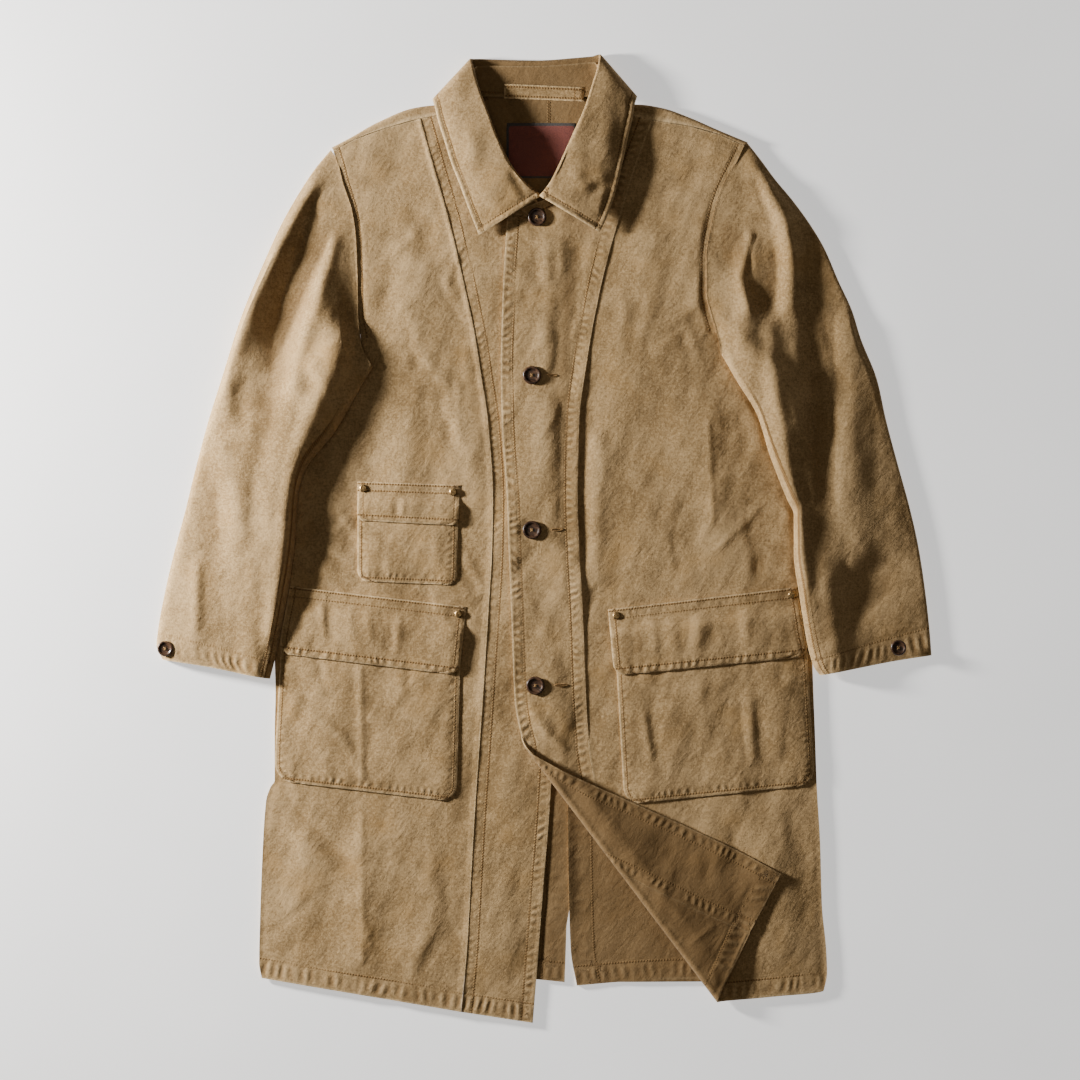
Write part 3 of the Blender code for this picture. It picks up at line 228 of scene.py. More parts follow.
RIGHT_SLEEVE_OUTER = (
    (234.5, 461), (251, 440), (268, 417), (288, 393), (309, 364), (325, 337), (341, 300),
    (357, 265), (367, 233), (386, 185), (396, 140), (410, 87), (424, 36), (434, -9),
    (441, -54), (447, -107), (449, -134),
)
RIGHT_SLEEVE_INNER = (
    (206, 213), (222, 185), (247, 143), (261, 98), (281, 47), (289, 28), (289, -17),
    (295, -62), (303, -113), (312, -147), (319, -157),
)
RIGHT_SLEEVE_HEAD = (
    (234.5, 461), (224, 441), (213, 422), (202, 398), (194, 366), (188, 327), (188, 287),
    (194, 260), (201, 236), (206, 213),
)
RIGHT_SLEEVE_CUFF = ((449, -134), (404, -141), (351, -151), (319, -157))

# Collar stations from the left point round the neck to the right point,
# columns: roll x, y, z, outer edge x, y, z, all at the middle of the cloth
COLLAR_FALL = (
    (-5, 396, 14.8, -75, 352, 11.6), (-21, 408, 18, -86, 380, 12.2),
    (-39, 429, 21, -96, 408, 13), (-55, 460, 22, -107, 436, 13.6),
    (-67, 492, 21, -115, 462, 14), (-77, 519, 18.5, -122, 484, 13.8),
    (-84, 545, 14.5, -126, 501, 13), (-86, 554, 9.5, -128, 509, 8),
    (-84, 554, 6.5, -124, 511, 3), (-77, 554, 5.5, -104, 508.5, 2),
    (-66, 553.5, 5.3, -76, 509, 1.6), (-55, 553, 5.2, -60, 496, 1.6),
    (-9, 552, 5.2, -9, 489, 1.6), (36, 555, 5.2, 50, 495, 1.6),
    (47, 556, 5.3, 66, 509, 1.6), (57, 557, 5.5, 86, 508.5, 2),
    (64, 559, 6.5, 104, 512, 3), (66, 559, 9.5, 107, 512, 8),
    (65, 549, 14.5, 104, 502, 13), (58, 524, 18.5, 102, 488, 13.8),
    (49, 496, 21, 96, 463, 14.6), (36, 467, 22.5, 89, 430, 15),
    (22, 436, 22, 82, 401, 15), (9, 410, 20.5, 73, 374, 15), (-3, 395, 18.5, 64, 355, 14.4),
)
COLLAR_STAND = (
    (-13, 398, 12.6, -7, 390, 10.4), (-23, 409, 14.6, -24, 404, 10.2),
    (-41, 431, 17.5, -43, 425, 10), (-55, 461, 18.5, -61, 451, 10),
    (-66, 492, 17.5, -75, 476, 10), (-74, 518, 15, -88, 495, 10.4),
    (-80, 543, 10.5, -93, 504, 9), (-78, 547, 8.2, -88, 510, 7),
    (-71, 548, 7.4, -74, 513, 6), (-45, 548, 7.4, -45, 512, 5.8), (-9, 548, 7.4, -9, 512, 5.8),
    (30, 550, 7.4, 36, 512, 5.8), (52, 552, 7.4, 59, 513, 6), (59, 552, 8.2, 70, 510, 7),
    (62, 547, 10.5, 76, 505, 9), (56, 521, 15, 74, 496, 10.4), (48, 495, 17.5, 64, 475, 10),
    (35, 468, 18.5, 50, 448, 10), (21, 438, 18, 32, 421, 12), (8, 414, 17, 13, 403, 13),
    (1, 404, 15.8, 2, 396, 12.6),
)
# Corners: top left, top right, bottom right, bottom left
CHEST_POCKET = ((-216, 37), (-99, 32), (-101, -53), (-216, -48))
CHEST_FLAP = ((-216, 67), (-97, 63), (-99, 16), (-216, 22))
LEFT_POCKET = ((-303, -93), (-96, -117), (-101, -304), (-313, -279))
LEFT_FLAP = ((-300, -54), (-90, -78), (-98, -157), (-306, -132))
RIGHT_POCKET = ((82, -117), (303, -96), (314, -284), (93, -307))
RIGHT_FLAP = ((74, -81), (294, -55), (307, -135), (81, -158))
HANGER_LOOP = ((-46, 527), (46, 523), (46, 507), (-46, 510.5))
NECK_LABEL = ((-44, 482), (38, 482), (38, 418), (-44, 418))
FRONT_BUTTONS = ((-8, 373), (-14, 190), (-14, 11), (-10, -169))
CUFF_BUTTON_LEFT = (-437.5, -126)
CUFF_BUTTON_RIGHT = (409, -125)
CHEST_RIVETS = ((-209, 59), (-105, 55))
LEFT_RIVETS = ((-99, -86),)
RIGHT_RIVETS = ((84, -88), (287, -64))
print("rows down the left front:", len(LEFT_ROWS))

# %% [markdown]
# ## Folds
#
# Heavy canvas keeps the creases of its last wearing. Each row below is one soft ridge or, where
# its height is negative, one trough, read from the coat and no two alike.

# %% Fold tables
# Columns: x0, y0, x1, y1, half width, height
FRONT_FOLDS = (
    (-213, -338, -215, -494, 20, 3), (-290, -334, -236, -388, 18, 2.4),
    (-252, 62, -238, 12, 18, 2.4), (196, 175, 194, 20, 20, 2.6), (-150, 330, -190, 130, 48, 2.2),
    (150, 380, 120, 180, 50, 2), (-22, -188, 20, -222, 18, 1.8), (250, -330, 262, -500, 34, 2),
    (-150, -330, -140, -520, 40, 1.6),
)
SLEEVE_FOLDS_LEFT = (
    (-246, 345, -226, 270, 15, 4.5), (-226, 270, -236, 190, 17, 3.5),
    (-258, 390, -345, 160, 24, -4.5), (-300, 395, -372, 160, 26, 3), (-330, 60, -345, -90, 26, 2.5),
    (-398, -30, -404, -135, 14, 2.5), (-223, 231, -260, 162, 16, 5.5), (-260, 162, -288, 81, 15, 6),
    (-288, 81, -299, -1, 14, 6), (-299, -1, -313, -117, 13, 5),
)
SLEEVE_FOLDS_RIGHT = (
    (236, 446, 284, 359, 17, 5), (284, 359, 300, 165, 22, 5), (222, 350, 228, 285, 12, 3.5),
    (203, 380, 217, 250, 14, -3), (236, 225, 322, -10, 26, -4.5), (395, -20, 345, -105, 20, -3.5),
    (392, 60, 400, -100, 26, 2),
)
CREASES = (
    (36, 344, 36, 304, 8.1, -2), (32, 304, 22, 243, 9.3, -2.2), (22, 243, 23, 162, 8.1, -2),
    (26, 165, 31, -9, 8.1, -2.4), (19, -85, 27, -175, 7, -1.4), (1, 351, 5, 295, 5.8, 1.6),
    (19, 347, 20, 307, 4.6, 1), (-9, 327, -3, 278, 5.8, -1.2), (-31, 313, 22, 258, 4.6, 0.8),
    (-24, 278, 19, 264, 5.8, -0.8), (5, 243, 3, 194, 8.1, 1), (2, 164, -1, 104, 9.3, 1.2),
    (6, 104, 9, -24, 11.6, 1), (-28, -24, 5, -70, 9.3, -0.6), (-198, 313, -144, 359, 4.6, 0.9),
    (-193, 322, -155, 352, 3.5, -0.6), (-147, 390, -132, 328, 10.4, -1.4),
    (-121, 298, -94, 251, 4.6, -0.9), (-114, 301, -86, 243, 4.6, 0.8),
    (-159, 223, -117, 173, 4.6, -0.9), (-151, 226, -109, 176, 4.6, 0.8),
    (-136, 197, -103, 162, 3.5, 0.6), (-167, 278, -144, 231, 7, 0.8),
    (-113, 162, -94, 107, 5.8, 1.3), (-123, 171, -107, 115, 5.8, -1),
    (-103, 115, -86, 46, 5.8, -0.9), (-121, 84, -94, 57, 4.6, 0.9),
    (-245, 31, -217, -12, 5.8, -1.5), (-239, 37, -213, -1, 4.6, 1),
    (-252, -20, -198, -55, 4.6, -1.3), (-248, -12, -190, -47, 4.6, 1.1),
    (-231, -41, -190, -61, 3.5, 0.8), (-171, -57, -130, -72, 4.6, -1.5),
    (-176, -49, -121, -67, 3.5, 0.9), (-94, -32, -78, -62, 5.8, -1.5),
    (-86, -24, -70, -59, 4.6, 0.9), (-94, 14, -85, -32, 4.6, 0.9),
    (-101, -82, -86, -128, 5.8, -0.9), (90, 298, 94, 251, 5.8, 1), (100, 235, 85, 197, 5.8, 0.9),
    (111, 278, 100, 220, 7, -0.8), (138, 240, 181, 274, 5.8, 1.3), (129, 226, 175, 260, 4.6, -1),
    (123, 216, 169, 251, 4.6, 0.9), (169, 243, 181, 208, 4.6, 0.9),
    (161, 237, 169, 194, 4.6, -0.8), (111, 185, 148, 226, 8.1, 0.9),
    (190, 139, 196, 19, 2.9, 1.1), (195, 139, 201, 19, 3.5, -0.4), (196, 19, 184, 5, 2.9, 0.9),
    (201, -9, 270, 54, 4.1, 1.1), (206, -14, 262, 34, 4.6, -0.5), (181, -24, 216, -1, 4.6, 0.7),
    (150, 3, 158, -44, 5.8, -1.1), (142, 8, 150, -35, 4.6, 1.1), (227, 147, 235, 100, 7, -1.2),
    (219, 162, 227, 104, 5.8, 0.9), (239, 23, 251, -44, 7, -0.9), (230, 23, 239, -41, 5.8, 1),
    (85, 100, 135, 147, 10.4, -1.1), (65, 89, 111, 127, 9.3, 1), (48, 162, 45, -32, 7, -1.8),
    (61, 127, 61, -53, 7, 1.2), (111, 81, 121, 11, 9.3, 0.7), (82, 23, 90, -59, 9.3, -0.7),
    (-295, -306, -222, -380, 7, -1.2), (-288, -300, -216, -369, 5.8, 1.2),
    (-212, -306, -210, -491, 3.5, 1.3), (-175, -368, -159, -387, 4.6, 0.9),
    (-169, -360, -153, -381, 3.5, -0.7), (-109, -445, -140, -499, 8.1, -1),
    (-121, -441, -150, -494, 7, 0.8), (-283, -395, -248, -459, 10.4, -0.8),
    (-260, -337, -283, -418, 11.6, 0.7), (-48, -334, -5, -306, 7, -0.7),
    (-167, -302, -176, -360, 9.3, 0.7), (-42, -395, -34, -488, 9.3, 0.8),
    (-121, -325, -107, -418, 9.3, -0.6), (-16, -198, 7, -229, 4.6, 1.8),
    (7, -229, 27, -244, 4.6, 1.4), (-8, -186, 22, -224, 5.8, -1.6),
    (1, -212, 36, -238, 5.8, -0.8), (282, -317, 289, -352, 8.1, -0.8),
    (273, -314, 280, -360, 5.8, 1), (300, -368, 297, -441, 9.3, -0.6),
    (291, -360, 285, -453, 9.3, 0.6), (216, -325, 233, -383, 11.6, -0.9),
    (251, -418, 256, -488, 11.6, 0.8), (181, -337, 204, -372, 9.3, 0.7),
)
POCKET_CREASES = (
    (-291, -183, -229, -233, 8.1, 1.6), (-229, -233, -210, -279, 7, 1.2),
    (-303, -201, -263, -267, 9.3, -1), (-213, -146, -210, -279, 4.6, 1.2),
    (-198, -183, -155, -213, 8.1, -1.4), (-155, -213, -124, -233, 7, -0.8),
    (-190, -233, -144, -279, 9.3, 0.8), (-271, -146, -258, -186, 9.3, 0.8),
    (-248, -256, -231, -285, 5.8, -0.8), (-167, -157, -161, -186, 7, 0.6),
    (115, -201, 123, -252, 5.8, 1.3), (123, -186, 135, -267, 7, -0.8),
    (181, -163, 187, -233, 10.4, 1.2), (212, -175, 227, -256, 10.4, -1.6),
    (247, -190, 254, -252, 7, -1.2), (237, -175, 241, -256, 7, 1),
    (274, -151, 280, -256, 8.1, -0.6), (140, -175, 148, -209, 7, 0.5),
    (-190, 8, -144, -1, 5.8, -1.2), (-179, 14, -132, 8, 5.8, 0.8),
    (-184, -24, -179, -41, 5.8, 0.5), (-126, 11, -123, -35, 5.8, 0.6),
)
FLAP_CREASES = (
    (-258, -70, -254, -111, 4.6, 1), (-248, -72, -244, -117, 5.8, -0.8),
    (-225, -76, -222, -117, 5.8, 0.9), (-204, -70, -200, -117, 4.6, 0.7),
    (-184, -82, -176, -128, 5.8, -1.2), (-167, -84, -171, -126, 4.6, 0.9),
    (-283, -64, -281, -105, 5.8, -0.6), (111, -84, 108, -134, 7, -1.2),
    (125, -84, 129, -134, 5.8, 0.8), (181, -76, 177, -122, 7, 1.3),
    (195, -76, 195, -117, 5.8, -0.6), (216, -70, 219, -120, 8.1, -1.4),
    (233, -70, 235, -122, 7, 1), (256, -70, 262, -117, 7, -0.5), (146, -82, 148, -128, 7, 0.6),
    (164, -84, 162, -126, 5.8, -0.9), (-162, 52, -164, 28, 3.5, 0.9),
    (-169, 52, -171, 28, 3.5, -0.7), (-144, 55, -121, 46, 5.8, -0.8),
    (-190, 52, -193, 28, 5.8, 0.5),
)
LEFT_SLEEVE_CREASES = (
    (-217, 278, -213, 220, 10.4, 2), (-283, 278, -306, 185, 11.6, -1.6),
    (-320, 156, -327, 92, 11.6, -2), (-374, 115, -357, 23, 10.4, 2),
    (-357, 23, -341, -70, 11.6, 1.5), (-362, 185, -362, 133, 7, 1.6),
    (-350, 179, -348, 127, 7, -1.5), (-399, -24, -401, -105, 4.6, 1.5),
    (-392, -24, -393, -105, 5.8, -1.2), (-382, 81, -393, -24, 11.6, -1.6),
    (-341, 69, -327, -24, 10.4, -1.8), (-422, -24, -427, -105, 9.3, 1),
    (-277, 197, -262, 160, 8.1, -2), (-264, 202, -248, 168, 7, 1.6),
    (-370, -70, -364, -117, 8.1, -1), (-411, 104, -420, 23, 11.6, 1.2),
    (-327, -24, -327, -117, 7, -1.4),
)
RIGHT_SLEEVE_CREASES = (
    (196, 328, 227, 274, 9.3, 3), (227, 274, 247, 237, 9.3, 3), (216, 368, 209, 313, 8.1, -3),
    (230, 353, 227, 284, 8.1, -3.5), (241, 347, 237, 278, 7, 2), (297, 165, 297, 115, 12.8, 2.5),
    (320, 185, 324, 34, 9.3, -2.2), (346, 162, 341, 23, 15.1, 3.5),
    (341, 23, 327, -59, 13.9, 2.5), (401, -18, 361, -99, 20.9, -2), (378, 92, 396, -24, 23.2, 2),
    (419, -70, 413, -117, 11.6, 0.8), (332, -70, 322, -128, 8.1, -1.5),
    (355, 278, 372, 139, 20.9, 1.5), (314, 278, 326, 185, 10.4, -1.5),
    (200, 243, 222, 183, 4.6, 2.5), (222, 183, 247, 141, 4.6, 2.5), (247, 141, 280, 46, 4.6, 3),
    (280, 46, 289, -18, 4.6, 3), (289, -18, 303, -117, 4.6, 2.5),
)
CORNER_CREASES = (
    (181, -360, 177, -401, 9.3, 0.8), (188, -360, 187, -401, 8.1, -0.4),
    (65, -360, 88, -383, 8.1, 0.6), (111, -453, 146, -488, 5.8, 0.8),
    (135, -424, 169, -453, 7, -0.7), (233, -395, 222, -424, 5.8, 0.6),
    (123, -349, 169, -372, 9.3, -0.8), (135, -476, 148, -505, 5.8, -0.8),
    (140, -465, 158, -488, 4.6, 0.7),
)
COLLAR_CREASES = (
    (-45, 419, -28, 390, 5.8, 0.8), (-37, 422, -23, 398, 3.5, -0.6), (-74, 405, -51, 376, 7, 0.6),
    (-86, 475, -81, 434, 7, 0.7), (42, 405, 72, 419, 4.6, 0.9), (48, 394, 65, 410, 4.6, -0.7),
    (36, 422, 56, 394, 5.8, 0.6), (79, 487, 72, 440, 7, 0.6), (63, 376, 70, 405, 3.5, 0.6),
)
print("hand-placed creases:", len(CREASES) + len(POCKET_CREASES) + len(FLAP_CREASES))

# %% [markdown]
# ## Curves and waves
#
# A smooth curve through the table rows gives the outline at any step. Soft ridges, seeded short
# creases and a few crossed waves then give the cloth its uneven surface.

# %% Curves and waves
def ease(t):
    """Smooth step: three t squared less two t cubed, between 0 and 1."""
    t = np.clip(t, 0.0, 1.0)
    return t * t * (3.0 - 2.0 * t)


def bell(value, middle, half):
    """Bell curve: e to the minus square of the distance from the middle, in half widths."""
    return np.exp(-(((value - middle) / half) ** 2))


def smooth(table, at):
    """Monotone cubic through the rows of a table: harmonic mean slopes, so no overshoot."""
    rows = np.asarray(table, dtype=float)
    x, y = rows[:, 0], rows[:, 1]
    at = np.clip(np.asarray(at, dtype=float), x[0], x[-1])
    step = np.diff(x)
    slope = np.diff(y) / step
    inner = np.where(slope[:-1] * slope[1:] > 0,
                     2 * slope[:-1] * slope[1:] / (slope[:-1] + slope[1:] + 1e-12), 0.0)
    tangent = np.concatenate(([slope[0]], inner, [slope[-1]]))
    k = np.clip(np.searchsorted(x, at, side="right") - 1, 0, len(step) - 1)
    t = (at - x[k]) / step[k]
    keep = y[k] * (1 + 2 * t) * (1 - t) ** 2 + y[k + 1] * t * t * (3 - 2 * t)
    return keep + step[k] * (tangent[k] * t * (1 - t) ** 2 - tangent[k + 1] * t * t * (1 - t))


def run_along(points):
    """Length of the path from its first point to each of its points."""
    return np.concatenate(([0.0], np.cumsum(np.linalg.norm(np.diff(points, axis=0), axis=1))))


def along(points, count):
    """Evenly spaced rows on a smooth curve through the rows of a table."""
    points = np.asarray(points, dtype=float)
    run = run_along(points)
    at = np.linspace(0.0, run[-1], count)
    return np.stack([smooth(np.column_stack((run, column)), at) for column in points.T], axis=1)


def rule(first, last, columns):
    """Grid of points on straight rows from one rail to the other."""
    share = np.linspace(0.0, 1.0, columns + 1)[None, :, None]
    return first[:, None, :] * (1 - share) + last[:, None, :] * share


def ordered(table, first, second):
    """Two columns of a table, sorted by the first one."""
    return np.array(sorted((row[first], row[second]) for row in table)).T


def least(*parts):
    """Smallest of several arrays at each point."""
    return np.minimum.reduce(parts)


def relief(folds, x, y, soft=1.0):
    """Sum of ridges: each is a bell curve across its line, and fades out at both ends."""
    height = np.zeros_like(x)
    for x0, y0, x1, y1, half_width, rise in folds:
        half_width = half_width * soft
        dx, dy = x1 - x0, y1 - y0
        length = math.hypot(dx, dy)
        run = ((x - x0) * dx + (y - y0) * dy) / length
        off = ((x - x0) * dy - (y - y0) * dx) / length
        reach = 1.2 * half_width
        fade = ease((run + reach) / (2 * reach)) * ease((length + reach - run) / (2 * reach))
        height += rise * bell(off, 0.0, half_width) * fade
    return height


def waves(x, y, size, seed, squeeze=1.0):
    """Twelve crossed sine waves about a size long, between about -1 and 1."""
    rng = np.random.default_rng(seed)
    total = np.zeros_like(x)
    for _ in range(12):
        angle = rng.uniform(0, 2 * math.pi)
        length = size * rng.uniform(0.6, 1.7)
        phase = rng.uniform(0, 2 * math.pi)
        across = x * math.cos(angle) + y * math.sin(angle) * squeeze
        total += np.sin(2 * math.pi * across / length + phase)
    return total / 4.0


def short_creases(seed, count, box, height):
    """Seeded short creases in a box (x0, y0, x1, y1), most of them nearly upright."""
    rng = np.random.default_rng(seed)
    x = rng.uniform(box[0], box[2], count)
    y = rng.uniform(box[1], box[3], count)
    lean = rng.normal(0.0, 0.5, count)
    length = rng.uniform(18, 70, count)
    half = rng.uniform(3.6, 8.0, count)
    rise = rng.uniform(0.25, 1.0, count) * height * np.where(rng.random(count) < 0.5, -1, 1)
    return np.column_stack((x, y, x + length * np.sin(lean), y - length * np.cos(lean), half, rise))


trial = relief(((0, 0, 0, 50, 5, 2),), np.zeros(1), np.full(1, 25))
print("a crease is", round(float(trial[0]), 2), "mm high at its middle")

# %% [markdown]
# ## How the layers lie
#
# The back lies on the floor, the fronts on the back, and the right front laps over the left.
# These functions give the underside of each front at any place, creases included.

# %% Layers
FRONT_UNDER = CLOTH + GAP
SLACK, SLACK_REACH = 1.0, 45.0
SHOULDER_RADIUS, SHOULDER_REACH = 4.0, 70.0
SHOULDER_RISE = 2 * SHOULDER_RADIUS - CLOTH - FRONT_UNDER
ARMHOLE_RISE, ARMHOLE_REACH = 2.6, 45.0
FOLD_START, FOLD_END = (-24.0, -238.0), (200.0, -535.0)
FOLD_INNER_RADIUS, FOLD_SETTLE, FOLD_REST = 4.0, 80.0, 0.5
LEAST_RISE, LAP_FADE = 0.4, 30.0
SHORT_CREASES = short_creases(11, 150, (-310, -540, 310, 440), 0.6)
TABLE = np.array(CREASES)
WIDE = TABLE[:, 4] > 6.0
FINE, BROAD = TABLE[~WIDE] * (1, 1, 1, 1, 1, 0.6), TABLE[WIDE] * (1, 1, 1, 1, 1, 1.05)
HARD_SPOTS = FRONT_BUTTONS + CHEST_RIVETS + LEFT_RIVETS + RIGHT_RIVETS


def side_distance(x, y):
    """How far a point lies inside the body's outer edges, measured across."""
    left = np.where(y < LEFT_SIDE[-1][0], smooth(LEFT_SIDE, y), smooth(LEFT_ARMHOLE, y))
    right = np.where(y < RIGHT_SIDE[-1][0], smooth(RIGHT_SIDE, y), smooth(RIGHT_ARMHOLE, y))
    return np.minimum(x - left, right - x)


def shoulder_line(x):
    """Height of the shoulder seam above the hem at each x."""
    left, right = ordered(LEFT_SHOULDER, 2, 3), ordered(RIGHT_SHOULDER, 2, 3)
    middle = (LEFT_SHOULDER[-1][2] + RIGHT_SHOULDER[-1][2]) / 2
    return np.where(x < middle, np.interp(x, *left), np.interp(x, *right))


def under_sleeve(x, y):
    """1 where a sleeve covers the body, 0 in the open."""
    left, right = ordered(LEFT_SLEEVE_INNER, 1, 0), ordered(RIGHT_SLEEVE_INNER, 1, 0)
    low = ease((y + 175.0) / 20.0) * ease((225.0 - y) / 20.0)
    left_side = ease((np.interp(y, *left) + 6.0 - x) / 8.0)
    right_side = ease((x - np.interp(y, *right) + 6.0) / 8.0)
    return low * np.maximum(left_side, right_side)


def creases(x, y):
    """Small creases of the fronts, calm round each button and rivet and under the sleeves."""
    total = 0.45 + relief(FINE, x, y, 1.3) + relief(BROAD, x, y, 1.5)
    total += relief(SHORT_CREASES, x, y)
    total += 0.75 * waves(x, y, 85.0, 3, 0.55) + 0.28 * waves(x, y, 30.0, 5, 0.6)
    for px, py in HARD_SPOTS:
        total *= ease((np.hypot(x - px, y - py) - 9.0) / 10.0)
    return total * (1.0 - under_sleeve(x, y))


def front_under(x, y):
    """Underside of the fronts above the floor, before one laps over the other."""
    inside = np.clip(side_distance(x, y), 0.0, None)
    low = SLACK * ease(inside / SLACK_REACH)
    shoulder = 1.0 - ease((shoulder_line(x) - y) / SHOULDER_REACH)
    near_hole = (1.0 - ease(inside / ARMHOLE_REACH)) * ease((y - 235.0) / 60.0)
    rise = np.maximum(SHOULDER_RISE * shoulder, ARMHOLE_RISE * near_hole)
    seam = ease((shoulder_line(x) - y) / 12.0)
    folds = relief(FRONT_FOLDS, x, y) + creases(x, y) * seam
    total = low * (1 - shoulder) + rise + folds * ease(inside / 12.0)
    soft = LEAST_RISE * np.exp(np.minimum(total, LEAST_RISE) / LEAST_RISE - 1)
    return FRONT_UNDER + np.where(total > LEAST_RISE, total, soft)


def right_under(x, y):
    """Underside of the right front, higher by one cloth where it laps over the left."""
    edge = smooth(LEFT_FRONT_EDGE, np.minimum(y, 370.0))
    return front_under(x, y) + (CLOTH + GAP + SPARE) * (1.0 - ease((x - edge - 4.0) / LAP_FADE))


def left_top(x, y):
    """Upper face of the left front."""
    return front_under(x, y) + CLOTH


def right_top(x, y):
    """Upper face of the right front."""
    return right_under(x, y) + CLOTH


def turn_back(x, y, depth):
    """Points of the right front, bent back over the fold line.

    Past the line the cloth follows a half circle, then lies mirrored on the front and sinks
    to its rest height with distance, as an exponential.
    """
    fold = np.array(FOLD_END) - np.array(FOLD_START)
    fold = fold / np.linalg.norm(fold)
    away = np.array((fold[1], -fold[0]))
    if away[0] > 0:
        away = -away
    outer = FOLD_INNER_RADIUS + CLOTH
    middle = FOLD_INNER_RADIUS + CLOTH / 2
    past = (x - FOLD_START[0]) * away[0] + (y - FOLD_START[1]) * away[1] + outer
    foot_x, foot_y = x - past * away[0], y - past * away[1]
    angle = np.clip(past / middle, 0.0, math.pi)
    beyond = np.clip(past - math.pi * middle, 0.0, None)
    radius = outer - depth
    reach = radius * np.sin(angle) - beyond
    flat = np.stack((x, y, right_under(x, y) + depth), axis=-1)
    new_x, new_y = foot_x + reach * away[0], foot_y + reach * away[1]
    bend_z = right_under(foot_x, foot_y) + outer - radius * np.cos(angle)
    hollow = FOLD_REST + (2 * FOLD_INNER_RADIUS - FOLD_REST) * np.exp(-beyond / FOLD_SETTLE)
    rest_z = right_top(new_x, new_y) + hollow + CLOTH - depth
    bent = np.stack((new_x, new_y, np.where(beyond > 0, rest_z, bend_z)), axis=-1)
    return np.where((past > 0)[..., None], bent, flat), beyond


chest = front_under(np.array([-150.0]), np.array([150.0]))
print("front underside at the chest:", round(float(chest[0]), 2))

# %% [markdown]
# ## Materials
#
# The cloth is washed canvas: a dull tan with faded clouds, a fine nap, pale worn edges and
# ridges, and painted shade that darkens and warms its troughs. The marks stored on each point
# say where these lie.

# %% Node helper
class Graph:
    """Short way to write a material's node graph."""

    def __init__(self, name):
        self.material = bpy.data.materials.new(name)
        self.material.use_nodes = True
        self.tree = self.material.node_tree
        self.shader = self.tree.nodes["Principled BSDF"]
        self.place = self.add("ShaderNodeTexCoord", out=3)

    def put(self, socket, value):
        """Links a socket to a value that is a socket, or sets it."""
        if isinstance(value, bpy.types.NodeSocket):
            self.tree.links.new(value, socket)
        else:
            socket.default_value = value

    def add(self, kind, values=(), out=0, **settings):
        """New node with its settings and inputs; gives back one of its outputs."""
        node = self.tree.nodes.new(kind)
        for key, value in settings.items():
            setattr(node, key, value)
        for key, value in dict(values).items():
            self.put(node.inputs[key], value)
        return node.outputs[out]

    def math(self, operation, a, b=0.0):
        """One arithmetic step."""
        return self.add("ShaderNodeMath", {0: a, 1: b}, operation=operation)

    def product(self, a, b):
        """One value times another."""
        return self.math("MULTIPLY", a, b)

    def weighed(self, *terms):
        """Sum of values, each times its weight."""
        total = None
        for value, weight in terms:
            part = self.product(value, weight)
            total = part if total is None else self.math("ADD", total, part)
        return total

    def span(self, value, low, high, to_low=0.0, to_high=1.0):
        """Smooth map of a value from one range to another."""
        return self.add("ShaderNodeMapRange", {0: value, 1: low, 2: high, 3: to_low, 4: to_high},
                        interpolation_type="SMOOTHSTEP")

    def mix(self, share, a, b):
        """Blend of two colours by a share."""
        return self.add("ShaderNodeMix", {0: share, 6: a, 7: b}, out=2, data_type="RGBA")

    def noise(self, scale, detail=2.0, rough=0.55, distortion=0.0, turn=0.0):
        """Value of a noise texture, its scale one number or one for each axis, turned about Z."""
        vector = self.place
        if isinstance(scale, tuple):
            vector, scale = self.stretch(scale, turn), 1.0
        return self.add("ShaderNodeTexNoise", {"Vector": vector, "Scale": scale, "Detail": detail,
                                               "Roughness": rough, "Distortion": distortion})

    def mark(self, name):
        """Value stored on each point under a name."""
        return self.add("ShaderNodeAttribute", out=2, attribute_name=name)

    def stretch(self, scale, turn):
        """Coordinates turned about Z, then scaled along each axis."""
        turned = self.add("ShaderNodeMapping", {"Vector": self.place, "Rotation": (0, 0, turn)})
        return self.add("ShaderNodeMapping", {"Vector": turned, "Scale": scale})

    def bump(self, height, strength, distance, normal=None):
        """Bump from a height."""
        values = {"Height": height, "Strength": strength, "Distance": distance}
        if normal is not None:
            values["Normal"] = normal
        return self.add("ShaderNodeBump", values)

    def finish(self, values):
        """Sets inputs of the shader by name and gives back the material."""
        for key, value in values.items():
            self.put(self.shader.inputs[key], value)
        return self.material


print("node helper ready")

# %% [markdown]
# ## Canvas
#
# Canvas is dyed as a finished coat and then washed, which wears the dye off raised edges. The
# colour is mixed from clouds, slubs and nap, then shifted by edge distance and fold height:
# paler where worn, and darker in troughs and between puckers as painted shade.

# %% Canvas
STITCH_LENGTH = 3.3
TAN = (0.43, 0.286, 0.134)


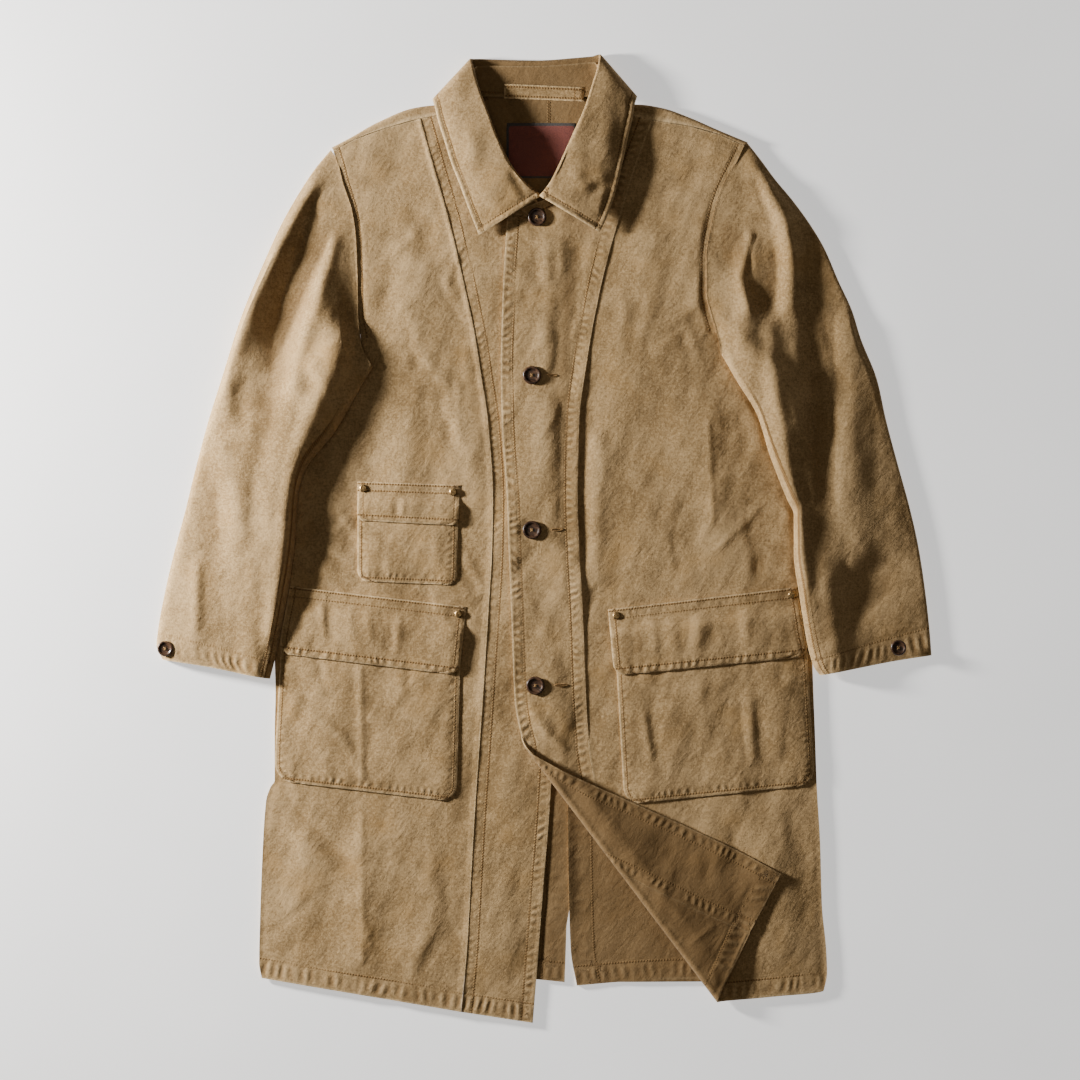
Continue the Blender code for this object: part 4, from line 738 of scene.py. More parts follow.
def make_canvas(name, tint):
    """Washed canvas: clouds, slubs, nap, worn edges, painted shade in troughs, stitch rows, bump.
    """
    g = Graph(name)

    def shade(red, green, blue):
        """The tint with each of its parts scaled."""
        return (tint[0] * red, tint[1] * green, tint[2] * blue, 1.0)

    clouds, blots = g.noise(8.0, 4.0, 0.6), g.noise(45.0, 4.0, 0.62, 0.4)
    grain, nap = g.noise(330.0, 3.0, 0.75), g.noise(900.0, 2.0, 0.7)
    warp = g.noise((1500.0, 110.0, 400.0), 2.0, 0.6)
    weft = g.noise((110.0, 1300.0, 400.0), 2.0, 0.6)
    thread = g.weighed((warp, 0.5), (weft, 0.5))
    tone = g.weighed((clouds, 0.22), (blots, 0.13), (grain, 0.3), (nap, 0.17), (thread, 0.18))
    colour = g.mix(g.span(tone, 0.415, 0.585), shade(0.64, 0.6, 0.52), shade(1.3, 1.32, 1.38))
    ochre = g.span(g.noise(17.0, 3.0), 0.5, 0.78, 0.0, 0.4)
    colour = g.mix(ochre, colour, shade(0.98, 0.84, 0.56))

    high = g.mark("high")
    worn = g.product(g.span(high, 0.3, 2.6), g.span(grain, 0.35, 0.65, 0.2, 0.5))
    colour = g.mix(worn, colour, shade(1.4, 1.46, 1.58))
    # Painted shade: a negative fold height darkens and warms the cloth in its troughs.
    colour = g.mix(g.span(high, -0.3, -2.6, 0.0, 0.36), colour, shade(0.5, 0.41, 0.28))

    band = g.span(g.mark("band"), 0.05, 0.75)
    pucker = g.math("SINE", g.mark("phase"))
    crest = g.product(band, g.span(pucker, 0.0, 0.9, 0.0, 0.6))
    colour = g.mix(g.product(crest, g.span(grain, 0.35, 0.6, 0.5, 1.0)), colour,
                   shade(1.5, 1.58, 1.72))
    # Painted shade: the hollows between puckers are darkened.
    hollow = g.product(band, g.span(pucker, 0.15, -0.9, 0.0, 0.5))
    colour = g.mix(hollow, colour, shade(0.52, 0.42, 0.28))

    edge = g.mark("edge")
    rim = g.product(g.span(edge, 2.5, 0.6), g.span(grain, 0.32, 0.6, 0.35, 1.0))
    colour = g.mix(g.product(rim, 0.85), colour, shade(1.7, 1.85, 2.12))

    stitch = g.mark("stitch")
    dash = g.math("SINE", g.product(g.mark("run"), 2 * math.pi / STITCH_LENGTH))
    line = g.span(g.math("ABSOLUTE", stitch), 1.5, 0.4)
    colour = g.mix(g.product(line, g.span(dash, 0.2, -0.5, 0.5, 0.9)), colour,
                   shade(0.32, 0.24, 0.14))
    colour = g.mix(g.product(line, g.span(dash, 0.3, 0.8, 0.0, 0.5)), colour,
                   shade(0.95, 0.76, 0.45))
    colour = g.mix(g.product(g.mark("inside"), 0.7), colour, shade(0.42, 0.37, 0.3))

    wrinkle = g.noise((56.0, 30.0, 50.0), 5.0, 0.55, 0.3, turn=0.55)
    normal = g.bump(wrinkle, 0.6, 0.0021)
    drag = g.noise((170.0, 48.0, 120.0), 3.0, 0.6, 0.5, turn=0.75)
    normal = g.bump(drag, 0.4, 0.0009, normal)
    height = g.product(band, g.product(pucker, 0.5))
    normal = g.bump(height, 0.9, 0.0007, normal)
    fibre = g.math("ADD", g.product(thread, 0.6), g.math("ADD", grain, nap))
    normal = g.bump(fibre, 0.5, 0.0004, normal)
    normal = g.bump(g.product(line, g.span(dash, -0.6, 0.6)), 0.6, 0.0007, normal)
    return g.finish({"Base Color": colour, "Roughness": g.span(nap, 0.3, 0.7, 0.84, 0.98),
                     "Specular IOR Level": 0.15, "Sheen Weight": 0.08, "Sheen Roughness": 0.6,
                     "Normal": normal})


CANVAS = make_canvas("canvas_washed", TAN)
print("canvas nodes:", len(CANVAS.node_tree.nodes))

# %% [markdown]
# ## Horn, brass, thread, label and floor
#
# Horn is dark and glossy with brown streaks. The rivets are brass gone dull, the sewing thread
# is a strong ochre, and the label is a plain dark red weave with a grey border.

# %% Small materials
def make_horn():
    """Dark horn: stretched noise for the streaks, low roughness for the polish."""
    g = Graph("horn_polished")
    streak = g.noise((90.0, 420.0, 200.0), 4.0, 0.6, 1.2, turn=0.5)
    colour = g.mix(g.span(streak, 0.35, 0.7), (0.018, 0.009, 0.006, 1.0), (0.11, 0.055, 0.028, 1.0))
    return g.finish({"Base Color": colour, "Roughness": g.span(streak, 0.3, 0.7, 0.26, 0.42),
                     "Normal": g.bump(g.noise(700.0), 0.15, 0.0003)})


def make_brass():
    """Aged brass: brown patina in clouds over a dull yellow metal."""
    g = Graph("brass_aged")
    patina = g.noise(600.0, 3.0, 0.6)
    colour = g.mix(g.span(patina, 0.4, 0.65), (0.2, 0.12, 0.05, 1.0), (0.52, 0.35, 0.15, 1.0))
    return g.finish({"Base Color": colour, "Roughness": g.span(patina, 0.35, 0.7, 0.32, 0.6),
                     "Metallic": 0.9, "Normal": g.bump(patina, 0.3, 0.0003)})


def make_thread():
    """Ochre sewing thread with a fine twist."""
    g = Graph("thread_ochre")
    twist = g.noise((2600.0, 900.0, 900.0), turn=0.7)
    colour = g.mix(g.span(twist, 0.35, 0.65), (0.2, 0.105, 0.032, 1.0), (0.4, 0.235, 0.085, 1.0))
    return g.finish({"Base Color": colour, "Roughness": 0.8, "Normal": g.bump(twist, 0.5, 0.0004)})


def make_label():
    """Dark red weave with a grey woven border."""
    g = Graph("label_weave")
    weave = g.noise((900.0, 1700.0, 600.0), 3.0, 0.7)
    share = g.span(weave, 0.3, 0.7)
    red = g.mix(share, (0.15, 0.042, 0.036, 1.0), (0.34, 0.105, 0.082, 1.0))
    grey = g.mix(share, (0.04, 0.036, 0.034, 1.0), (0.12, 0.11, 0.105, 1.0))
    border = g.span(g.mark("edge"), 3.6, 2.9)
    return g.finish({"Base Color": g.mix(border, red, grey),
                     "Roughness": g.span(weave, 0.3, 0.7, 0.7, 0.9),
                     "Normal": g.bump(weave, 0.5, 0.0005)})


def make_floor():
    """Pale matt floor with a very faint mottle."""
    g = Graph("floor_pale")
    share = g.span(g.noise(3.0, 3.0), 0.3, 0.7)
    colour = g.mix(share, (0.89, 0.89, 0.89, 1.0), (0.93, 0.93, 0.93, 1.0))
    return g.finish({"Base Color": colour, "Roughness": 0.9, "Emission Color": colour,
                     "Emission Strength": 0.8})


HORN, BRASS, THREAD, LABEL_WEAVE = make_horn(), make_brass(), make_thread(), make_label()
floor_mesh.materials.append(make_floor())
print("small materials:", HORN.name, BRASS.name, THREAD.name, LABEL_WEAVE.name)

# %% [markdown]
# ## Cloth as a shell
#
# Every piece of cloth is two layers of points one cloth apart, closed by a rim. Stitch rows
# pull the cloth in, and between the row and the edge it swells in small uneven puckers.

# %% Shells and sewing
# In mm: rows of stitches from an edge, distances that no row reaches, and a groove's measures
HEM, CORNER_HEM, FACING_ROW, VENT_FACING = 22.0, 21.0, 13.5, 27.0
FAR, FARTHER, NO_STITCH = 60.0, 200.0, 40.0
GROOVE_DEPTH, GROOVE_WIDTH, LIP_WIDTH = 0.36, 1.5, 1.8
PLY, PLY_STEP = 0.55, 1.8
PANEL_GAP = (0.08, 0)


def grid_faces(rows, columns, ring=False):
    """Quads of a grid of points; a ring also joins its last column to its first."""
    index = np.arange(rows * columns).reshape(rows, columns)
    if ring:
        index = np.column_stack((index, index[:, 0]))
    return np.stack((index[:-1, :-1], index[:-1, 1:], index[1:, 1:], index[1:, :-1]),
                    axis=-1).reshape(-1, 4)


def add_mesh(name, points, faces, material, marks=None, sharp=50.0):
    """Mesh object from points in mm and quads, with values stored on its points."""
    mesh = bpy.data.meshes.new(name)
    mesh.vertices.add(len(points))
    mesh.vertices.foreach_set("co", (np.asarray(points) * MM).astype(np.float32).ravel())
    mesh.loops.add(faces.size)
    mesh.loops.foreach_set("vertex_index", faces.astype(np.int32).ravel())
    mesh.polygons.add(len(faces))
    mesh.polygons.foreach_set("loop_start", np.arange(0, faces.size, 4, dtype=np.int32))
    mesh.update(calc_edges=True)
    for key, values in (marks or {}).items():
        mesh.attributes.new(key, "FLOAT", "POINT").data.foreach_set(
            "value", np.asarray(values, dtype=np.float32).ravel())
    mesh.materials.append(material)
    mesh.shade_smooth()
    mesh.set_sharp_from_angle(angle=math.radians(sharp))
    thing = bpy.data.objects.new(name, mesh)
    bpy.context.scene.collection.objects.link(thing)
    return thing


def shell(name, lower, upper, faces, material, marks, inner=0):
    """Closed piece from two layers of points, faces outwards.

    An edge that belongs to one quad alone is a border and becomes one quad of the rim.
    `inner` says which layer is the wrong side of the cloth: 0 the lower, 1 the upper.
    """
    count = len(lower)
    edges = np.stack((faces, np.roll(faces, -1, axis=1)), axis=-1).reshape(-1, 2)
    key = np.sort(edges, axis=1) @ np.array((count, 1))
    _, first, uses = np.unique(key, return_index=True, return_counts=True)
    border = edges[first[uses == 1]]
    rim = np.column_stack((border, border[:, ::-1] + count))
    skin = np.vstack((faces[:, ::-1], faces + count, rim))
    a, b, c, d = (upper[faces[:, k]] for k in range(4))
    facing = np.sum(np.cross(c - a, d - b) * (upper - lower)[faces[:, 0]])
    if facing < 0:
        skin = skin[:, ::-1]
    values = {key: np.tile(value.ravel(), 2) for key, value in marks.items()}
    wrong = np.zeros(2 * count)
    wrong[count * inner:count * (inner + 1)] = 1.0
    values["inside"] = wrong
    return add_mesh(name, np.vstack((lower, upper)), skin, material, values)


def beside(grid, border):
    """Distance from a border line and run along it, for each point of a grid.

    For the step r from a border point with unit tangent t, the run grows by r.t and the
    distance is the length of r - (r.t) t, or half the length of r where that is more.
    """
    tangent = np.gradient(border, axis=0)
    length = np.linalg.norm(tangent, axis=1)[:, None]
    tangent = tangent / np.maximum(length, 1e-9)
    step = grid - border[:, None]
    along_it = np.sum(step * tangent[:, None], axis=-1)
    away = np.linalg.norm(step - along_it[..., None] * tangent[:, None], axis=-1)
    away = np.maximum(away, 0.5 * np.linalg.norm(step, axis=-1))
    return away, run_along(border)[:, None] + along_it


def margins(grid):
    """Distance of each grid point from each border, and the run along that border.

    The top is the grid's first row and the bottom its last, whichever way up they lie.
    """
    m = {}
    for side, border in (("left", grid[:, 0]), ("right", grid[:, -1])):
        m[side], m["run " + side] = beside(grid, border)
    for side, border in (("top", grid[0]), ("bottom", grid[-1])):
        pair = beside(np.swapaxes(grid, 0, 1), border)
        m[side], m["run " + side] = (np.swapaxes(part, 0, 1) for part in pair)
    return m


def row(m, side, *measures):
    """Row of stitches along one border, as `sew` takes it."""
    return (m[side], m["run " + side], *measures)


def sew(rows, edge, seed, lip=0.42, signed=False):
    """Puckers, grooves and stitch marks of a list of rows.

    Each row is (distance, run, at, middle, half width, height, pitch): stitches lie where the
    distance is `at`, and the swelling between `at` and the edge peaks at `middle`, one bump
    for each pitch along the run, with uneven length and height. The edge swells by `lip`.
    A signed stitch mark changes sign on the line, which keeps it whole on a wide grid.
    """
    swell, runs, band, phase = (np.zeros_like(edge) for _ in range(4))
    nearest, mark = np.full_like(edge, NO_STITCH), np.full_like(edge, NO_STITCH)
    for number, (distance, run, at, middle, half, height, pitch) in enumerate(rows):
        drift = waves(run, distance * 0.0, 70.0, seed + number)
        size = np.clip(0.66 + 0.3 * waves(run, distance * 0.0, 30.0, seed + 40 + number), 0.25, 1.0)
        lean = 0.9 * (distance - middle) / max(half, 1.0) * waves(run, run * 0.0, 90.0, seed + 70)
        turn = 2 * math.pi * run / pitch + 2.6 * drift + lean
        here = height * size * bell(distance, middle, half)
        swell += 0.62 * here * (0.5 + 0.5 * np.sin(turn))
        phase = np.where(here > band, turn, phase)
        band = np.maximum(band, here)
        swell -= GROOVE_DEPTH * bell(distance, at, GROOVE_WIDTH)
        off = np.abs(distance - at)
        closer = off < nearest
        sign = np.where(distance < at, -1.0, 1.0) if signed else 1.0
        mark = np.where(closer, off * sign, mark)
        nearest = np.where(closer, off, nearest)
        runs = np.where(closer, run, runs)
    swell += lip * bell(edge, LIP_WIDTH, LIP_WIDTH)
    return swell, {"stitch": mark, "run": runs, "edge": edge, "band": band, "phase": phase}


def plies(distance, at):
    """Height of a turned hem's extra cloth, with a soft step at the distance `at`."""
    return PLY * ease((at - distance) / PLY_STEP + 0.5)


def seat(thing, node):
    """Puts a piece in the place of the frame's node."""
    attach(thing, "root")
    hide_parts(node)


def declare(thing, node):
    """Seats a piece of cloth."""
    seat(thing, node)


def lay_cloth(node, lower, upper, marks, rests_on, cut, material=CANVAS, slot="canvas",
              ring=False):
    """Piece of cloth from two layers on a grid, seated in its node's place."""
    thing = shell("cloth_" + node, lower.reshape(-1, 3), upper.reshape(-1, 3),
                  grid_faces(*lower.shape[:2], ring), material, marks)
    declare(thing, node)


print("shells and sewing ready")

# %% [markdown]
# ## The back
#
# Each half of the back lies on the floor, open at the vent, and wraps forward over the shoulder
# to a seam. Its inner side shows at the neck and in the opening at the hem.

# %% Back halves
NECK_COLUMNS, YOKE_ROWS, BEND_STEPS = 18, 26, 12
# The vent's top at the hips, how far below it the back hangs free, and the vent's open end
HIP, SETTLED, VENT_LOW = -60.0, 120.0, -452.0


def back_under(x, y):
    """Underside of the back: on the floor, lifted over the collar at the neck."""
    across = 1.0 - ease((np.abs(x + 9.0) - 74.0) / 16.0)
    return 3.5 * ease((y - 462.0) / 22.0) * across


def make_back_half(node, rows, side_table, hole_table, centre_table, shoulder, neck, sign):
    """One half of the back with its shoulder rolled forward to the seam."""
    side_y, centre_y = along(rows, 230).T
    hole = smooth(hole_table, side_y) + sign * 0.7
    side_x = np.where(side_y < side_table[-1][0], smooth(side_table, side_y) + sign * GAP, hole)
    side = np.column_stack((side_x, side_y))
    centre_x = smooth(centre_table, centre_y) - sign * 0.05
    if sign > 0:
        closed = ease((centre_y - VENT_LOW) / 30.0)
        tamed = ease((HIP - centre_y) / SETTLED)
        centre_x = np.minimum(centre_x + 3.4 * closed,
                              smooth(CENTRE_BACK_RIGHT, centre_y) + 0.2 + 2.0 * closed * tamed)
    centre = np.column_stack((centre_x, centre_y))
    shoulder = along(shoulder, 43)
    wide = len(shoulder) - 1
    flat = rule(side, centre, wide + NECK_COLUMNS)
    flat[0, :, 1] += np.sin(np.linspace(0, math.pi, wide + NECK_COLUMNS + 1)) * 8.0
    fold, seam = shoulder[:, :2], shoulder[:, 2:]
    inward = (seam - fold) * (0.6, 1.0)
    inward /= np.linalg.norm(inward, axis=1)[:, None]
    foot = fold + inward * SHOULDER_RADIUS
    top = np.vstack((foot, along(neck, NECK_COLUMNS + 1)[1:]))
    top[-1, 0] = centre[-1, 0]
    share = np.linspace(0, 1, YOKE_ROWS + 1)[1:, None, None]
    flat = np.concatenate((flat, flat[-1][None] * (1 - share) + top[None] * share))
    rows_flat, columns = flat.shape[:2]
    m = margins(flat)
    vent = flat[..., 1] < HIP
    facing, joined = np.where(vent, m["right"], FARTHER), np.where(vent, FARTHER, m["right"])
    swell, marks = sew((row(m, "top", HEM, 11.0, 9.0, 0.75, 11.0),
                        (facing, m["run right"], VENT_FACING, 14.0, 9.0, 0.45, 12.0),
                        (joined, m["run right"], 0.9, FAR, 1.0, 0.0, 9.0)),
                       least(facing, m["top"], m["left"]), 7, signed=True)
    x, y = flat[..., 0], flat[..., 1]
    tame = ease((HIP - y) / SETTLED)
    soft = 0.35 * waves(x, y, 70.0, 21, 0.6) * tame * ease(m["right"] / 8.0)
    swell = swell + np.maximum(plies(m["top"], HEM), plies(m["right"], VENT_FACING))
    room = np.clip(swell * tame + soft, -0.35, 1.0)
    lift = 2.0 * bell(m["right"], 0.0, 7.0) * ease((y - VENT_LOW) / 30.0) * tame * (sign < 0)
    lower = np.dstack((flat, back_under(x, y) + lift))
    upper = lower + np.dstack((0 * x, 0 * x, CLOTH + room))
    marks["high"] = soft * 2
    faces = [grid_faces(rows_flat, columns)]
    lowers, uppers = [lower.reshape(-1, 3)], [upper.reshape(-1, 3)]
    extra = []
    previous = np.arange((rows_flat - 1) * columns, (rows_flat - 1) * columns + wide + 1)
    count = rows_flat * columns
    steps = [(math.pi * (k + 1) / BEND_STEPS, None) for k in range(BEND_STEPS)]
    for number, (angle, target) in enumerate(steps + [(math.pi, 0.5), (math.pi, 1.0)]):
        for depth, layers in ((0.0, lowers), (CLOTH, uppers)):
            radius = SHOULDER_RADIUS - depth
            if target is None:
                plan = foot - inward * radius * math.sin(angle)
            else:
                plan = foot + (seam - foot) * target
            height = SHOULDER_RADIUS - radius * math.cos(angle)
            layers.append(np.column_stack((plan, np.full(len(plan), height))))
        current = np.arange(count, count + wide + 1)
        faces.append(np.column_stack((previous[:-1], previous[1:], current[1:], current[:-1])))
        previous = current
        count += wide + 1
        extra.append(np.full(wide + 1, max(0.0, 8.0 - 2.0 * max(0, number - BEND_STEPS + 3))))
    roll = np.concatenate(extra)
    rolled = {"edge": roll, "stitch": np.full(len(roll), NO_STITCH)}
    marks = {key: np.concatenate((value.ravel(), rolled.get(key, 0 * roll)))
             for key, value in marks.items()}
    thing = shell("cloth_" + node, np.vstack(lowers), np.vstack(uppers), np.vstack(faces), CANVAS,
                  marks, inner=1)
    declare(thing, node)


middle = len(BACK_NECK) // 2
make_back_half("back_left", BACK_LEFT_ROWS, LEFT_SIDE, LEFT_ARMHOLE, CENTRE_BACK_LEFT,
               LEFT_SHOULDER, BACK_NECK[:middle + 1], 1)
make_back_half("back_right", BACK_RIGHT_ROWS, RIGHT_SIDE, RIGHT_ARMHOLE, CENTRE_BACK_RIGHT,
               RIGHT_SHOULDER, BACK_NECK[:middle - 1:-1], -1)

# %% [markdown]
# ## The left front
#
# Two panels meet in a long seam from the shoulder to the hem. The seam allowance is pressed
# towards the edge and stitched down, which gives the puckered band beside it.

# %% Left front
def meet_shoulder(grid, heights, top):
    """Bow the rows next to the shoulder, so that the top row follows the shoulder seam."""
    bow = shoulder_line(grid[top, :, 0]) - GAP - SPARE - grid[top, :, 1]
    near = ease((heights - heights[top] + 50.0) / 50.0)
    grid[..., 1] += near[:, None] * bow[None, :]
    return grid


TUCK = 1.8
# Rows of stitches: at, middle, half width, height, pitch
LEFT_HEM_ROW = (HEM, 11.0, 9.0, 0.85, 11.5)
ARMHOLE_ROW = (7.0, 3.5, 3.0, 0.25, 9.0)


def lay(node, grid, rows, edge, seed, rests_on, ridge=0.0, tame=1.0, sink=0.0):
    """Panel of the left front, with its sewing and a seam ridge."""
    swell, marks = sew(rows, edge, seed)
    swell = (swell + ridge) * tame
    x, y = grid[..., 0], grid[..., 1]
    base = front_under(x, y) * (1 - sink) + (FRONT_UNDER + 0.15) * sink
    marks["high"] = creases(x, y) + 0.8 * swell
    lower = np.dstack((x, y, base + np.clip(swell, -0.1, 3.0)))
    lay_cloth(node, lower, lower + (0, 0, CLOTH), marks, rests_on, grid)


def make_left_front():
    """Side and centre panel of the left front."""
    side_y, seam_y, edge_y = along(LEFT_ROWS, 400).T
    side_x = np.where(side_y < LEFT_SIDE[-1][0], smooth(LEFT_SIDE, side_y),
                      smooth(LEFT_ARMHOLE, side_y) - TUCK * ease((side_y - 236.0) / 20.0))
    seam_x = smooth(LEFT_SEAM, seam_y)
    side = np.column_stack((side_x, side_y))
    seam = np.column_stack((seam_x, seam_y))
    edge = np.column_stack((smooth(LEFT_FRONT_EDGE, edge_y), edge_y))

    grid = meet_shoulder(rule(side, seam - PANEL_GAP, 88), seam_y, -1)
    m = margins(grid)
    hole = np.where(grid[..., 1] > LEFT_SIDE[-1][0], m["left"], FAR)
    border = least(m["right"] + 0.5, m["top"], m["left"] + 3.0, m["bottom"] + 0.8)
    lay("front_side_left", grid,
        (row(m, "top", *LEFT_HEM_ROW), (hole, m["run left"], *ARMHOLE_ROW)), border, 101,
        ["back_left"], ridge=0.85 * bell(m["right"], 1.2, 3.2))

    grid = meet_shoulder(rule(seam + PANEL_GAP, edge, 50), seam_y, -1)
    m = margins(grid)
    shown = ease((-236.0 - grid[..., 1]) / 12.0)
    border = least(m["right"], m["top"], m["left"] + 1.0, m["bottom"] + 1.0)
    lay("front_centre_left", grid,
        (row(m, "top", *LEFT_HEM_ROW), row(m, "left", 12.0, 6.5, 4.2, 0.55, 8.4),
         row(m, "right", 14.0, 7.5, 4.6, 0.7, 9.0)), border, 131, ["back_left", "back_right"],
        tame=np.where(m["left"] < 30.0, 1.0, shown),
        sink=ease((-262.0 - grid[..., 1]) / 40.0) * bell(m["right"], 0.0, 26.0))


make_left_front()

# %% [markdown]
# ## The right front and its turned corner
#
# This front laps over the other. Its lower corner is turned back, so the facing, the hem and the
# wrong side of the cloth show there; the turned part is painted darker as shade.

# %% Right front
# Past the fold the turned cloth stands up in a hump, then sinks over these distances
FOLD_HUMP, HUMP_REACH, HOLLOW_REACH = 7.5, 42.0, 38.0


def right_rails():
    """Edge, seam and outer rail of the right front, from the shoulder to the hem's corner."""
    rows = along(RIGHT_ROWS + RIGHT_CORNER_ROWS, 420)
    edge_y, seam_y, outer_x, outer_y = rows.T
    edge = np.column_stack((smooth(RIGHT_FRONT_EDGE, edge_y), edge_y))
    seam = np.column_stack((smooth(RIGHT_SEAM, seam_y), seam_y))
    hole = smooth(RIGHT_ARMHOLE, outer_y) + TUCK * ease((outer_y - 234.0) / 10.0)
    on_side = np.where(outer_y > RIGHT_SIDE[0][0] + 0.5, smooth(RIGHT_SIDE, outer_y), outer_x)
    outer_x = np.where(outer_y > RIGHT_SIDE[-1][0], hole, on_side)
    return edge, seam, np.column_stack((outer_x, outer_y))


def lay_turned(node, grid, rows, edge, seed, rests_on, ridge=0.0, hems=0.0):
    """Panel of the right front, bent back past the fold line, with its sewing.

    `hems` are plies that show on the turned side, which also stands higher near its fold.
    """
    swell, marks = sew(rows, edge, seed)
    swell = swell + ridge
    x, y = grid[..., 0], grid[..., 1]
    lower, beyond = turn_back(x, y, 0.0)
    upper = turn_back(x, y, CLOTH)[0]
    flap = ease(beyond / 12.0)
    extra = relief(CORNER_CREASES, lower[..., 0], lower[..., 1]) * flap
    extra += (0.3 * waves(lower[..., 0], lower[..., 1], 40.0, 33) + hems) * flap
    hump = FOLD_HUMP * np.exp(-np.maximum(beyond, 0.0) / HUMP_REACH) * ease(beyond / 24.0)
    hump *= ease((lower[..., 1] + 540.0) / 130.0)
    closer = np.exp(-beyond / FOLD_SETTLE) - np.exp(-beyond / HOLLOW_REACH)
    extra += hump - (2 * FOLD_INNER_RADIUS - FOLD_REST) * closer - 0.6 * ease(beyond / 90.0)
    rise = np.clip(swell, -0.2, 3.0) + np.maximum(extra, -3.6)
    lower[..., 2] += rise
    upper[..., 2] += rise
    # Painted shade: the turned part's fold height is lowered by three, which darkens its colour.
    marks["high"] = creases(x, y) * (beyond <= 0) + 0.8 * swell - 3.0 * flap
    lay_cloth(node, lower, upper, marks, rests_on, grid)


def make_right_front():
    """Centre and side panel of the right front."""
    edge, seam, outer = right_rails()
    grid = meet_shoulder(rule(edge, seam - PANEL_GAP, 46), seam[:, 1], 0)
    m = margins(grid)
    y = grid[..., 1]
    hem = np.where(y < -480.0, m["bottom"], FAR)
    step = 0.75 + 1.0 * ease((260.0 - y) / 90.0) * ease((y + 150.0) / 90.0)
    flat = ease((y + 240.0) / 30.0)
    lay_turned("front_centre_right", grid,
               (row(m, "left", FACING_ROW, 7.5, 4.6, 0.9, 9.4),
                row(m, "right", 14.5, 8.5, 5.0, 0.85, 8.4),
                (hem, m["run bottom"], CORNER_HEM, 11.0, 8.0, 0.7, 11.0)),
               least(m["right"] + 1.0, m["top"] + 1.0, m["left"], m["bottom"]), 171,
               ["front_centre_left", "back_right"],
               ridge=step * flat * bell(m["right"], 2.0, 7.0),
               hems=np.maximum(plies(hem, CORNER_HEM), plies(m["left"], FACING_ROW)) + 0.5)

    grid = meet_shoulder(rule(seam + PANEL_GAP, outer, 88), seam[:, 1], 0)
    m = margins(grid)
    x, y = grid[..., 0], grid[..., 1]
    hole = np.where(y > RIGHT_SIDE[-1][0], m["right"], FAR)
    hem_line = np.interp(x, (100.0, 206.0, 330.0), (-552.0, -535.0, -522.0))
    hem = np.where(y < -440.0, y - hem_line, FAR)
    lay_turned("front_side_right", grid,
               ((hem, x, CORNER_HEM, 11.0, 8.0, 0.8, 11.0),
                (hole, m["run right"], *ARMHOLE_ROW)),
               least(m["left"] + 1.2, m["top"] + 1.2, m["right"] + 2.5, m["bottom"],
                     np.maximum(hem, 0.0)), 191, ["back_right"], hems=plies(hem, CORNER_HEM))


make_right_front()

# %% [markdown]
# ## Sleeves
#
# Each sleeve is a flattened tube over the body's side. The cloth is cut once round the arm and
# closed by a felled seam, which shows as two lines beside the inner edge.

# %% Sleeves
# Columns: x0, y0, x1, y1, half width, height
LEFT_SLEEVE_FORM = (
    (-264, 418, -298, 352, 13, 5.5), (-298, 352, -330, 293, 14, 7), (-330, 293, -361, 216, 14, 6.5),
    (-361, 216, -378, 139, 14, 3.5), (-250, 398, -262, 345, 16, -6),
    (-262, 345, -286, 278, 21, -10), (-286, 278, -308, 212, 21, -9.5),
    (-308, 212, -318, 155, 17, -6), (-241, 352, -262, 278, 9, 3.5), (-262, 278, -283, 216, 10, 3.5),
    (-283, 216, -291, 170, 10, 2.5), (-246, 345, -226, 270, 14, -4), (-226, 270, -236, 190, 16, -2),
    (-345, 90, -352, 10, 14, 2), (-372, 60, -380, -30, 12, -2),
)
RIGHT_SLEEVE_FORM = (
    (236, 425, 252, 360, 13, -5), (252, 340, 262, 270, 17, -5), (231, 452, 254, 409, 8, 3),
    (254, 409, 278, 368, 9, 3.5), (278, 368, 286, 320, 10, 5), (286, 320, 282, 262, 12, 4.5),
    (262, 250, 263, 190, 12, 3.5), (263, 190, 276, 110, 11, 4.5), (276, 110, 296, 10, 10, 4.5),
    (296, 10, 301, -60, 9, 3), (318, 330, 316, 250, 20, -3), (316, 250, 312, 160, 22, -4.5),
    (312, 160, 318, 60, 22, -5), (318, 60, 322, -30, 18, -4), (322, -30, 320, -90, 14, -2),
    (344, 260, 356, 170, 18, 3), (356, 170, 362, 60, 20, 4), (362, 60, 366, -40, 20, 3),
    (241, 358, 226, 300, 6, 2.5), (226, 300, 238, 262, 6, 2.5),
)
SLEEVE_RADIUS = 3.2
STATIONS, TOP_STEPS, LOW_STEPS = 226, 54, 16
# Height of the crown at the head, what the upper arm adds to it, and height at the cuff
HEAD_HEIGHT, ARM_SWELL, CUFF_HEIGHT = 1.6, 13.4, 8.5
INNER_POWER = 0.43


def sleeve_low(side_table, sign, x, y):
    """Underside of a sleeve: on the floor, or on the body's side where it covers that."""
    inside = sign * (x - smooth(side_table, y))
    cover = ease((inside + 50.0) / 30.0) * (1.0 - ease((y - side_table[-1][0] - 4.0) / 24.0))
    return (front_under(x, y) + CLOTH + 0.6) * cover


def sleeve_crown(share, station, lean, outer_power):
    """Height of the upper layer over the rolled edges.

    A power of a sine across the arm, with a low power and so a full form on the inner side and
    `outer_power` on the other; `lean` moves the crest inwards.
    """
    share = np.clip(share, 0, 1) ** lean
    grow = ease(station / 0.16)
    arm = HEAD_HEIGHT + ARM_SWELL * grow
    height = arm + (CUFF_HEIGHT - arm) * ease((station - 0.35) / 0.6) * grow
    power = outer_power - (outer_power - INNER_POWER) * ease((share - 0.5) / 0.3)
    return height * np.sin(math.pi * share) ** power


